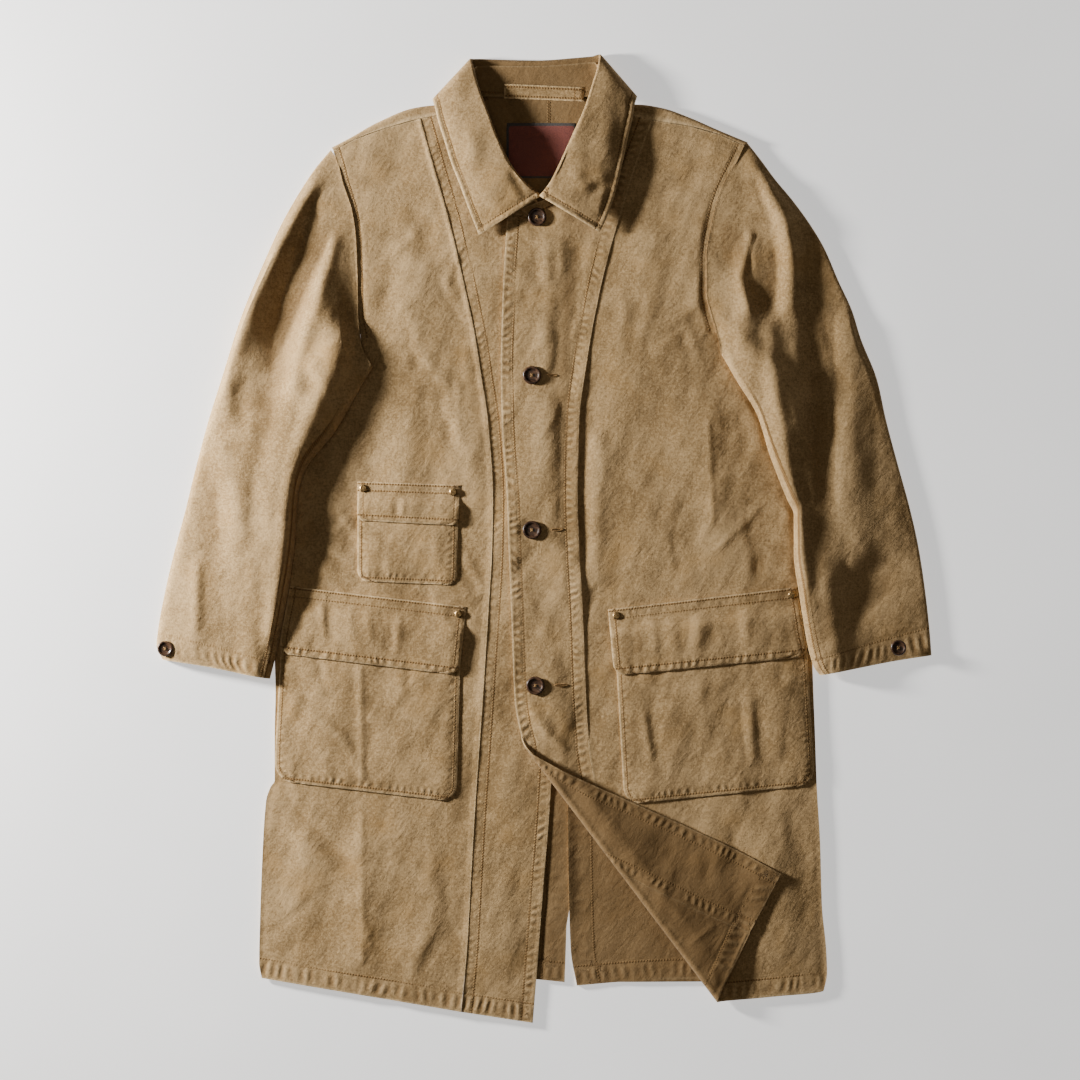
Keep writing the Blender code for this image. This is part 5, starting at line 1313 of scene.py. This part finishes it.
def make_sleeve(node, body, rails, side_table, reliefs, crown_shape, sign, seed):
    """Closed tube of cloth: rolled edges, a level underside, a crowned and creased top.

    `rails` are the outer and inner edge, the head and the cuff; `reliefs` are the large folds,
    the form and the small creases; `crown_shape` is the crest's lean and the outer power.
    """
    outer, inner, head, cuff = rails
    folds, form, more = reliefs
    station = np.linspace(0, 1, STATIONS)[:, None]
    first, last = along(outer, STATIONS), along(inner, STATIONS)
    width = np.linalg.norm(last - first, axis=1)[:, None]
    length = float(np.linalg.norm(np.diff((first + last) / 2, axis=0), axis=1).sum())
    quarter = np.linspace(0, math.pi / 2, 6)[None, :]
    layers = []
    for depth in (CLOTH, 0.0):
        bend = SLEEVE_RADIUS - depth
        inset, lift = depth + bend * (1 - np.cos(quarter)), bend * np.sin(quarter)
        inset, lift = inset + 0 * station, lift + 0 * station
        flat = width - 2 * SLEEVE_RADIUS
        top_mid = SLEEVE_RADIUS + flat * np.linspace(0, 1, TOP_STEPS + 1)[None, 1:-1]
        low_mid = SLEEVE_RADIUS + flat * np.linspace(1, 0, LOW_STEPS + 1)[None, 1:-1]
        across = np.hstack((inset, top_mid, width - inset[:, ::-1],
                            width - inset[:, 1:], low_mid, inset[:, :0:-1]))
        up = np.hstack((lift, 0 * top_mid + bend, lift[:, ::-1],
                        -lift[:, 1:], 0 * low_mid - bend, -lift[:, :0:-1]))
        tops = 2 * inset.shape[1] + top_mid.shape[1]
        is_top = (np.arange(across.shape[1]) < tops)[None, :] + 0 * across
        share = across / width
        plan = first[:, None] + (last - first)[:, None] * share[..., None]
        for line, weight in ((head, np.maximum(0, 1 - station / 0.45) ** 2),
                             (cuff, np.maximum(0, (station - 0.8) / 0.2) ** 2)):
            dense = along(line, 200)
            at = np.clip(share, 0, 1)
            knots = np.linspace(0, 1, 200)
            curve = np.dstack([np.interp(at, knots, column) for column in dense.T])
            straight = dense[0] + (dense[-1] - dense[0]) * at[..., None]
            plan = plan + (curve - straight) * weight[..., None]
        x, y = plan[..., 0], plan[..., 1]
        from_edge = np.minimum(across, width - across)
        large = relief(folds, x, y)
        small = 0.75 * relief(more, x, y, 1.4) + 0.5 * waves(x, y, 55.0, seed, 0.45)
        small += 0.14 * waves(x, y, 20.0, seed + 1, 0.6)
        start = np.minimum(1.0, station / 0.08)
        on_top = ease((from_edge - SLEEVE_RADIUS / 2) / 9.0)
        crown = sleeve_crown(share, station, *crown_shape)
        crest = np.maximum(crown + large * start * on_top, 0.25 * crown)
        shape = relief(form, x, y) * on_top * start
        crest = np.maximum(crest + shape, np.minimum(crest, 1.8 + 0.1 * crown))
        crest = crest + small * start * ease((from_edge - 2.0) / 8.0)
        fade = ease((from_edge - 0.3) / 5.0)
        run = station * length + 0 * across
        seam_at = width - across
        cuff_at = (1 - station) * length + 0 * across
        shown_seam = np.where(is_top > 0, seam_at, FAR)
        swell, marks = sew(((shown_seam, run, 6.0, 4.0, 2.6, 0.3, 9.0),
                            (shown_seam, run, 10.5, 8.5, 2.0, 0.25, 9.0),
                            (cuff_at, across, 26.0, 13.0, 10.0, 0.8, 10.5)),
                           least(seam_at + 1.5, cuff_at, run + 3.0), seed + 9)
        z = sleeve_low(side_table, sign, x, y) + SLEEVE_RADIUS + up
        z = z + np.where(is_top > 0, np.maximum(crest, 0.3) * fade + swell * fade, 0.0)
        # Painted shade: a quarter of the form's height goes into the colour mark, so its deep
        # valleys are painted darker.
        marks["high"] = (small + 0.25 * shape + 0.8 * swell) * is_top * fade
        layers.append(np.dstack((x, y, z)))
    lay_cloth(node, *layers, marks, [body, "floor"],
              np.concatenate((layers[1], layers[1][:, :1]), axis=1), ring=True)


make_sleeve("sleeve_left", "front_side_left",
            (LEFT_SLEEVE_OUTER, LEFT_SLEEVE_INNER, LEFT_SLEEVE_HEAD, LEFT_SLEEVE_CUFF), LEFT_SIDE,
            (SLEEVE_FOLDS_LEFT, LEFT_SLEEVE_FORM, LEFT_SLEEVE_CREASES), (1.0, 0.5), 1, 301)
make_sleeve("sleeve_right", "front_side_right",
            (RIGHT_SLEEVE_OUTER, RIGHT_SLEEVE_INNER, RIGHT_SLEEVE_HEAD, RIGHT_SLEEVE_CUFF),
            RIGHT_SIDE, (SLEEVE_FOLDS_RIGHT, RIGHT_SLEEVE_FORM, RIGHT_SLEEVE_CREASES),
            (3.1, 0.95), -1, 331)

# %% [markdown]
# ## Pockets and flaps
#
# Patch pockets are cut flat, their edges turned under and stitched on. Each flap is sewn along
# its top edge only and lies over the pocket's mouth.

# %% Pockets and flaps
def sleeve_limit(rail, side, sign, cuff_y, y):
    """How far out a pocket may reach at y: to the sleeve beside it, or the body's side."""
    sleeve = np.interp(y, *ordered(rail, 1, 0)) + sign
    own = smooth(side, y) + sign * 0.6
    both = np.maximum(sleeve, own) if sign > 0 else np.minimum(sleeve, own)
    return np.where(y > cuff_y, both, own)


def left_limit(y):
    """Outer limit of the left pocket and flap."""
    return sleeve_limit(LEFT_SLEEVE_INNER, LEFT_SIDE, 1.0, -163.0, y)


def right_limit(y):
    """Outer limit of the right pocket and flap."""
    return sleeve_limit(RIGHT_SLEEVE_INNER, RIGHT_SIDE, -1.0, -160.0, y)


def patch_grid(corners, corner_cut, rows, columns, low=None, high=None):
    """Grid over a four-cornered piece whose lower two corners are rounded."""
    top_left, top_right, low_right, low_left = (np.array(c, dtype=float) for c in corners)
    height = np.linalg.norm(low_left - top_left)
    width = np.linalg.norm(top_right - top_left)
    v = 1 - (1 - np.linspace(0, 1, rows)) ** 1.25
    left = top_left + (low_left - top_left) * v[:, None]
    right = top_right + (low_right - top_right) * v[:, None]
    if low is not None:
        left[:, 0] = np.maximum(left[:, 0], low(left[:, 1]))
    if high is not None:
        right[:, 0] = np.minimum(right[:, 0], high(right[:, 1]))
    if corner_cut > 0:
        into = np.clip(1 - (1 - v) * height / corner_cut, 0.0, 1.0)
        inset = np.minimum(corner_cut * (1 - np.sqrt(1 - into * into)), corner_cut * 0.82)
        step = (right - left) / width
        left, right = left + step * inset[:, None], right - step * inset[:, None]
    return rule(left, right, columns), v


def pocket_relief(x, y):
    """Creases of the pockets, none below the panel."""
    return np.maximum(relief(POCKET_CREASES, x, y) + 0.3 * waves(x, y, 50.0, 61, 0.5) + 0.7, 0.0)


def pocket_folds(x, y, m):
    """Creases of a pocket, none at its stitched edges."""
    inside = ease((least(m["left"], m["right"], m["bottom"]) - 4.0) / 12.0)
    return pocket_relief(x, y) * inside


def make_patch(node, corners, corner_cut, surface, rows, columns, sewing, rests_on, seed,
               low=None, high=None, step_up=None, folds=None, material=CANVAS, slot="canvas",
               thickness=CLOTH):
    """Piece sewn on a panel, laid on the panel's surface and on the pocket below a flap.

    `step_up` is where, as a share of its height, a flap begins and ends its climb to the pocket.
    """
    grid, v = patch_grid(corners, corner_cut, rows, columns, low, high)
    m = margins(grid)
    x, y = grid[..., 0], grid[..., 1]
    rim = least(m["left"], m["right"], m["bottom"])
    z = surface(x, y) + GAP + SPARE - (1.1 if folds else 1.6) * np.exp(-rim / 4.0)
    bulge = folds(x, y, m) if folds else 0 * x
    high_marks = bulge - 0.7 * ease(bulge / 0.7)
    if step_up is not None:
        start, full = step_up
        climb = ease((v - start) / (full - start))[:, None]
        below = pocket_relief(x, y) * ease(climb * 1.4 - 0.2)
        z = z + (CLOTH + GAP + SPARE + 0.3 + below) * climb
        crease = relief(FLAP_CREASES, x, y) + 0.15 * waves(x, y, 30.0, 63, 0.6)
        inside = ease((least(m["left"], m["right"], m["top"] - 8.0) - 5.0) / 8.0)
        bulge = np.maximum(crease + 0.5, 0.0) * inside
        high_marks = crease * inside
    border = least(m["left"], m["right"], m["top"], m["bottom"])
    swell, marks = sew([row(m, *line) for line in sewing], border, seed)
    for px, py in HARD_SPOTS:
        calm = ease((np.hypot(x - px, y - py) - 7.0) / 5.0)
        swell, bulge = swell * calm, bulge * calm
    rise = np.maximum(bulge + np.maximum(swell, -0.15), 0.0)
    marks["high"] = high_marks + 0.8 * swell
    lower = np.dstack((x, y, z + rise))
    lay_cloth(node, lower, lower + (0, 0, thickness), marks, rests_on, grid, material, slot)


# Columns: side, at, middle, half width, height, pitch. Rows with FAR are lines without puckers.
POCKET_SEWING = (
    ("left", 4.5, 7.5, 4.0, 0.5, 8.5), ("right", 4.5, 7.5, 4.0, 0.5, 8.5),
    ("bottom", 4.5, 8.0, 4.5, 0.55, 9.0),
)
FLAP_SEWING = (
    ("top", 2.5, FAR, 1.0, 0.0, 9.0), ("top", 12.0, 7.0, 4.0, 0.35, 8.0),
    ("left", 7.5, 4.0, 3.0, 0.4, 9.0), ("right", 7.5, 4.0, 3.0, 0.4, 9.0),
    ("bottom", 8.0, 6.0, 5.0, 0.7, 10.0),
)
CHEST_SEWING = (
    ("top", 2.0, FAR, 1.0, 0.0, 9.0), ("top", 10.0, 6.0, 3.5, 0.3, 8.0),
    ("left", 6.0, 3.0, 3.0, 0.3, 8.0), ("right", 6.0, 3.0, 3.0, 0.3, 8.0),
    ("bottom", 6.5, 5.0, 3.5, 0.4, 8.5),
)
FLAP_STEP, CHEST_STEP = (0.19, 0.43), (0.3, 0.58)
make_patch("pocket_left", LEFT_POCKET, 20.0, left_top, 84, 84, POCKET_SEWING,
           ["front_side_left"], 411, low=left_limit, folds=pocket_folds)
make_patch("pocket_right", RIGHT_POCKET, 20.0, right_top, 84, 88, POCKET_SEWING,
           ["front_side_right"], 421, high=right_limit, folds=pocket_folds)
make_patch("chest_pocket", CHEST_POCKET, 12.0, left_top, 40, 50, POCKET_SEWING,
           ["front_side_left"], 431, folds=pocket_folds)
make_patch("flap_left", LEFT_FLAP, 14.0, left_top, 44, 88, FLAP_SEWING,
           ["front_side_left", "pocket_left"], 441, low=left_limit, step_up=FLAP_STEP)
make_patch("flap_right", RIGHT_FLAP, 14.0, right_top, 44, 92, FLAP_SEWING,
           ["front_side_right", "pocket_right"], 451, high=right_limit, step_up=FLAP_STEP)
make_patch("chest_flap", CHEST_FLAP, 7.2, left_top, 28, 52, CHEST_SEWING,
           ["front_side_left", "chest_pocket"], 461, step_up=CHEST_STEP)

# %% [markdown]
# ## Collar
#
# The collar is two leaves of doubled canvas that turn over a stand. Each leaf is edge-stitched
# all round and bows up between its roll and its edge.

# %% Collar
ROLL_RADIUS = 1.9


def around(grid, thickness):
    """Lower and upper layer about the middle of the cloth, half a thickness along its normal."""
    normal = np.cross(np.gradient(grid, axis=0), np.gradient(grid, axis=1))
    normal /= np.linalg.norm(normal, axis=2)[..., None]
    normal *= np.sign(normal[..., 2:].mean())
    return grid - normal * thickness / 2, grid + normal * thickness / 2


def make_collar_fall():
    """Leaf of the collar, with the roll at its top bent over towards the stand."""
    rows = along(COLLAR_FALL, 330)
    roll, outer = rows[:, :3], rows[:, 3:]
    grid = rule(roll, outer, 34)
    share = np.linspace(0, 1, 35)
    front = ease((rows[:, 2] - 8.0) / 6.0)
    dip = 0.5 * ease((7.0 - rows[:, 2]) / 1.5)
    grid[..., 2] += 2.6 * (front - dip)[:, None] * np.sin(math.pi * share)[None, :]
    m = margins(grid)
    x, y = grid[..., 0], grid[..., 1]
    border = least(m["right"], m["top"], m["bottom"])
    rows_sewn = [row(m, side, 6.5, 3.5, 3.0, height, 8.0)
                 for side, height in (("right", 0.35), ("top", 0.3), ("bottom", 0.3))]
    swell, marks = sew(rows_sewn, border, 501, lip=1.0)
    small = 1.35 * relief(COLLAR_CREASES, x, y, 1.4) + 0.6 * waves(x, y, 42.0, 503, 0.7)
    small *= ease((border - 6.0) / 8.0)
    grid[..., 2] += (small + swell) * front[:, None]
    away = roll - outer
    away[:, 2] = 0.0
    away /= np.linalg.norm(away, axis=1)[:, None] + 1e-9
    bend = []
    for angle in np.radians((150.0, 125.0, 100.0, 75.0, 50.0, 25.0)):
        point = roll + away * ROLL_RADIUS * math.sin(angle)
        point[:, 2] -= ROLL_RADIUS * (1 - math.cos(angle))
        bend.append(point)
    grid = np.concatenate((np.stack(bend, axis=1), grid), axis=1)
    lead = len(bend)
    marks["high"] = small + 0.8 * swell
    marks = {key: np.hstack((np.repeat(value[:, :1], lead, axis=1), value))
             for key, value in marks.items()}
    lay_cloth("collar_fall", *around(grid, COLLAR_CLOTH), marks,
              ["front_side_left", "front_side_right", "collar_stand"], grid)


def make_collar_stand():
    """Band inside the collar, from the neck seam up to the roll."""
    rows = along(COLLAR_STAND, 300)
    grid = rule(rows[:, :3], rows[:, 3:], 14)
    m = margins(grid)
    border = np.minimum(m["right"], m["left"])
    swell, marks = sew((row(m, "right", 5.0, 2.5, 2.5, 0.15, 8.0),), border, 521)
    grid[..., 2] += np.clip(swell, -0.2, 0.2)
    # Painted shade: the fold height is set 0.6 lower, so the stand under the collar is painted a
    # little darker and not worn paler.
    marks["high"] = swell - 0.6
    lay_cloth("collar_stand", *around(grid, CLOTH), marks, ["back_left", "back_right"], grid)


make_collar_fall()
make_collar_stand()

# %% [markdown]
# ## Hanger loop and label
#
# A short strip of canvas across the neck seam hangs the coat on a peg. The label below it is a
# woven square, sewn on the inner side of the back.

# %% Neck pieces
def loop_surface(x, y):
    """Upper face of the stand behind the neck."""
    return 5.8 + CLOTH / 2 + 2.2 * np.clip((y - 512.0) / 36.0, 0.0, 1.0)


def neck_surface(x, y):
    """Upper face of the back at the neck."""
    return back_under(x, y) + CLOTH


# Columns as in the pockets' sewing
LOOP_SEWING = (
    ("top", 3.0, 1.5, 2.0, 0.1, 7.0), ("bottom", 3.0, 1.5, 2.0, 0.1, 7.0),
    ("right", 11.0, FAR, 1.0, 0.0, 7.0), ("left", 5.0, FAR, 1.0, 0.0, 7.0),
)
LABEL_SEWING = (("top", 1.6, FAR, 1.0, 0.0, 5.0), ("bottom", 1.6, FAR, 1.0, 0.0, 5.0))
make_patch("hanger_loop", HANGER_LOOP, 0.0, loop_surface, 14, 44, LOOP_SEWING,
           ["collar_stand"], 541, thickness=TAPE)
make_patch("neck_label", NECK_LABEL, 0.0, neck_surface, 28, 34, LABEL_SEWING,
           ["back_left", "back_right"], 551, material=LABEL_WEAVE, slot="label_cloth",
           thickness=LABEL)

# %% [markdown]
# ## Buttons
#
# A horn button is turned from a slice of horn: a raised rim round a shallow well, with four
# holes. Ochre thread crosses between the holes.

# %% Buttons and thread
BUTTON_HEIGHT, FRONT_RADIUS, CUFF_RADIUS = 3.6, 10.7, 9.0
WELL = 0.66
HOLE_CIRCLE, HOLE_TURN = 2.3, math.pi / 4


def turned(profile, sides):
    """Points and quads of a round piece: the profile (radius, height) swept about Z."""
    radius, height = np.array(profile, dtype=float).T
    angle = np.linspace(0, 2 * math.pi, sides, endpoint=False)
    points = np.stack((radius[:, None] * np.cos(angle), radius[:, None] * np.sin(angle),
                       height[:, None] + 0 * angle), axis=-1)
    return points.reshape(-1, 3), grid_faces(len(profile), sides, ring=True)


def make_button(node, place, radius, base):
    """Horn button with a rim, a well and four drilled holes."""
    r, h = radius, BUTTON_HEIGHT
    profile = ((0.01, 0.0), (r * 0.7, 0.0), (r * 0.93, h * 0.16), (r, h * 0.4), (r, h * 0.62),
               (r * 0.965, h * 0.86), (r * 0.9, h * 0.985), (r * 0.82, h), (r * 0.74, h * 0.93),
               (r * 0.66, h * 0.72), (r * 0.56, h * 0.64), (0.01, h * WELL))
    points, faces = turned(profile, 56)
    points = points + (place[0], place[1], base)
    thing = add_mesh("horn_" + node, points, faces[:, ::-1], HORN, sharp=38.0)
    cutter_points, cutter_faces = turned(((0.01, -2), (1.0, -2), (1.0, 8), (0.01, 8)), 14)
    holes = [cutter_points + (place[0] + HOLE_CIRCLE * math.cos(a),
                              place[1] + HOLE_CIRCLE * math.sin(a), base)
             for a in HOLE_TURN + math.pi / 2 * np.arange(4)]
    stack = np.vstack([cutter_faces + k * len(cutter_points) for k in range(4)])
    cutter = add_mesh("cutter_" + node, np.vstack(holes), stack[:, ::-1], HORN)
    cut = thing.modifiers.new("holes", "BOOLEAN")
    cut.operation, cut.solver, cut.object = "DIFFERENCE", "EXACT", cutter
    bpy.context.view_layer.update()
    ready = bpy.data.meshes.new_from_object(thing.evaluated_get(
        bpy.context.evaluated_depsgraph_get()))
    thing.modifiers.clear()
    thing.data = ready
    bpy.data.objects.remove(cutter)
    seat(thing, node)


def tube(path, radius, sides, closed=False):
    """Round strand of a radius in mm along a path of points."""
    path = np.asarray(path, dtype=float)
    tangent = np.roll(path, -1, axis=0) - np.roll(path, 1, axis=0) if closed \
        else np.gradient(path, axis=0)
    tangent /= np.linalg.norm(tangent, axis=1)[:, None]
    side = np.cross(tangent, (0.0, 0.0, 1.0))
    side /= np.linalg.norm(side, axis=1)[:, None] + 1e-9
    up = np.cross(side, tangent)
    angle = np.linspace(0, 2 * math.pi, sides, endpoint=False)[None, :, None]
    points = path[:, None] + radius * (side[:, None] * np.cos(angle) + up[:, None] * np.sin(angle))
    if closed:
        points = np.concatenate((points, points[:1]))
    else:
        start, end = path[:1, None] + 0 * points[:1], path[-1:, None] + 0 * points[:1]
        points = np.concatenate((start, points, end))
    return points.reshape(-1, 3), grid_faces(len(points), sides, ring=True)


def join(name, parts):
    """One object of ochre thread from several lots of points and quads."""
    offset, faces = 0, []
    for points, quads in parts:
        faces.append(quads + offset)
        offset += len(points)
    thing = add_mesh(name, np.vstack([p for p, _ in parts]), np.vstack(faces), THREAD)
    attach(thing, "root")


def cross_threads(place, base):
    """Two strands between opposite holes of a button, bowed up a little."""
    parts = []
    t = np.linspace(-1, 1, 9)
    for k in range(2):
        angle = HOLE_TURN + k * math.pi / 2
        z = base + BUTTON_HEIGHT * WELL + 0.5 * (1 - t ** 4) - 0.6 * t ** 8 + 0.15 * k
        for off in (-0.25, 0.25):
            x = place[0] + (HOLE_CIRCLE * t * math.cos(angle) - off * math.sin(angle))
            y = place[1] + (HOLE_CIRCLE * t * math.sin(angle) + off * math.cos(angle))
            parts.append(tube(np.column_stack((x, y, z)), 0.32, 6))
    return parts


buttons = [(f"front_button_{number}", place, FRONT_RADIUS)
           for number, place in enumerate(FRONT_BUTTONS, start=1)]
buttons += [("cuff_button_left", CUFF_BUTTON_LEFT, CUFF_RADIUS),
            ("cuff_button_right", CUFF_BUTTON_RIGHT, CUFF_RADIUS)]
threads = []
for node, place, radius in buttons:
    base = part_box(node)[0][2] / MM
    make_button(node, place, radius, base)
    threads += cross_threads(place, base)
join("button_threads", threads)
print("buttons:", len(buttons))

# %% [markdown]
# ## Buttonholes
#
# A buttonhole is a slit whose edges are wrapped in thread. Here it shows beside each button as
# a narrow ochre ring of thread lying on the front.

# %% Buttonholes
def buttonhole(place, length, lean):
    """Ring of wrapped thread round a slit, lying on the front."""
    turn = np.linspace(0, 2 * math.pi, 40, endpoint=False)
    x = length / 2 * np.cos(turn)
    y = 1.15 * np.sin(turn) * (1 + 0.2 * np.sin(3 * turn)) + lean * x
    px, py = place[0] + x, place[1] + y
    z = right_top(px, py) + 0.35
    return tube(np.column_stack((px, py, z)), 0.62, 7, closed=True)


rings = [buttonhole((9.5, 190.0), 11.0, -0.05), buttonhole((15.0, 11.5), 13.0, 0.04),
         buttonhole((20.0, -168.5), 15.0, 0.03), buttonhole((-25.5, 372.0), 9.0, 0.1)]
join("buttonhole_rings", rings)
print("buttonholes:", len(rings))

# %% [markdown]
# ## Rivets
#
# Domed brass rivets hold the corners of the flaps. Their frame pieces stay and take an aged
# brass.

# %% Rivets
for node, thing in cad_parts.items():
    if "rivet" in node:
        thing.data.materials.clear()
        thing.data.materials.append(BRASS)
print("rivets:", sum("rivet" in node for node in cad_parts))

# %% [markdown]
# ## Finish
#
# Last, the view layer is brought up to date. The dressed coat has to stay in the frame's box.

# %% Finish
bpy.context.view_layer.update()
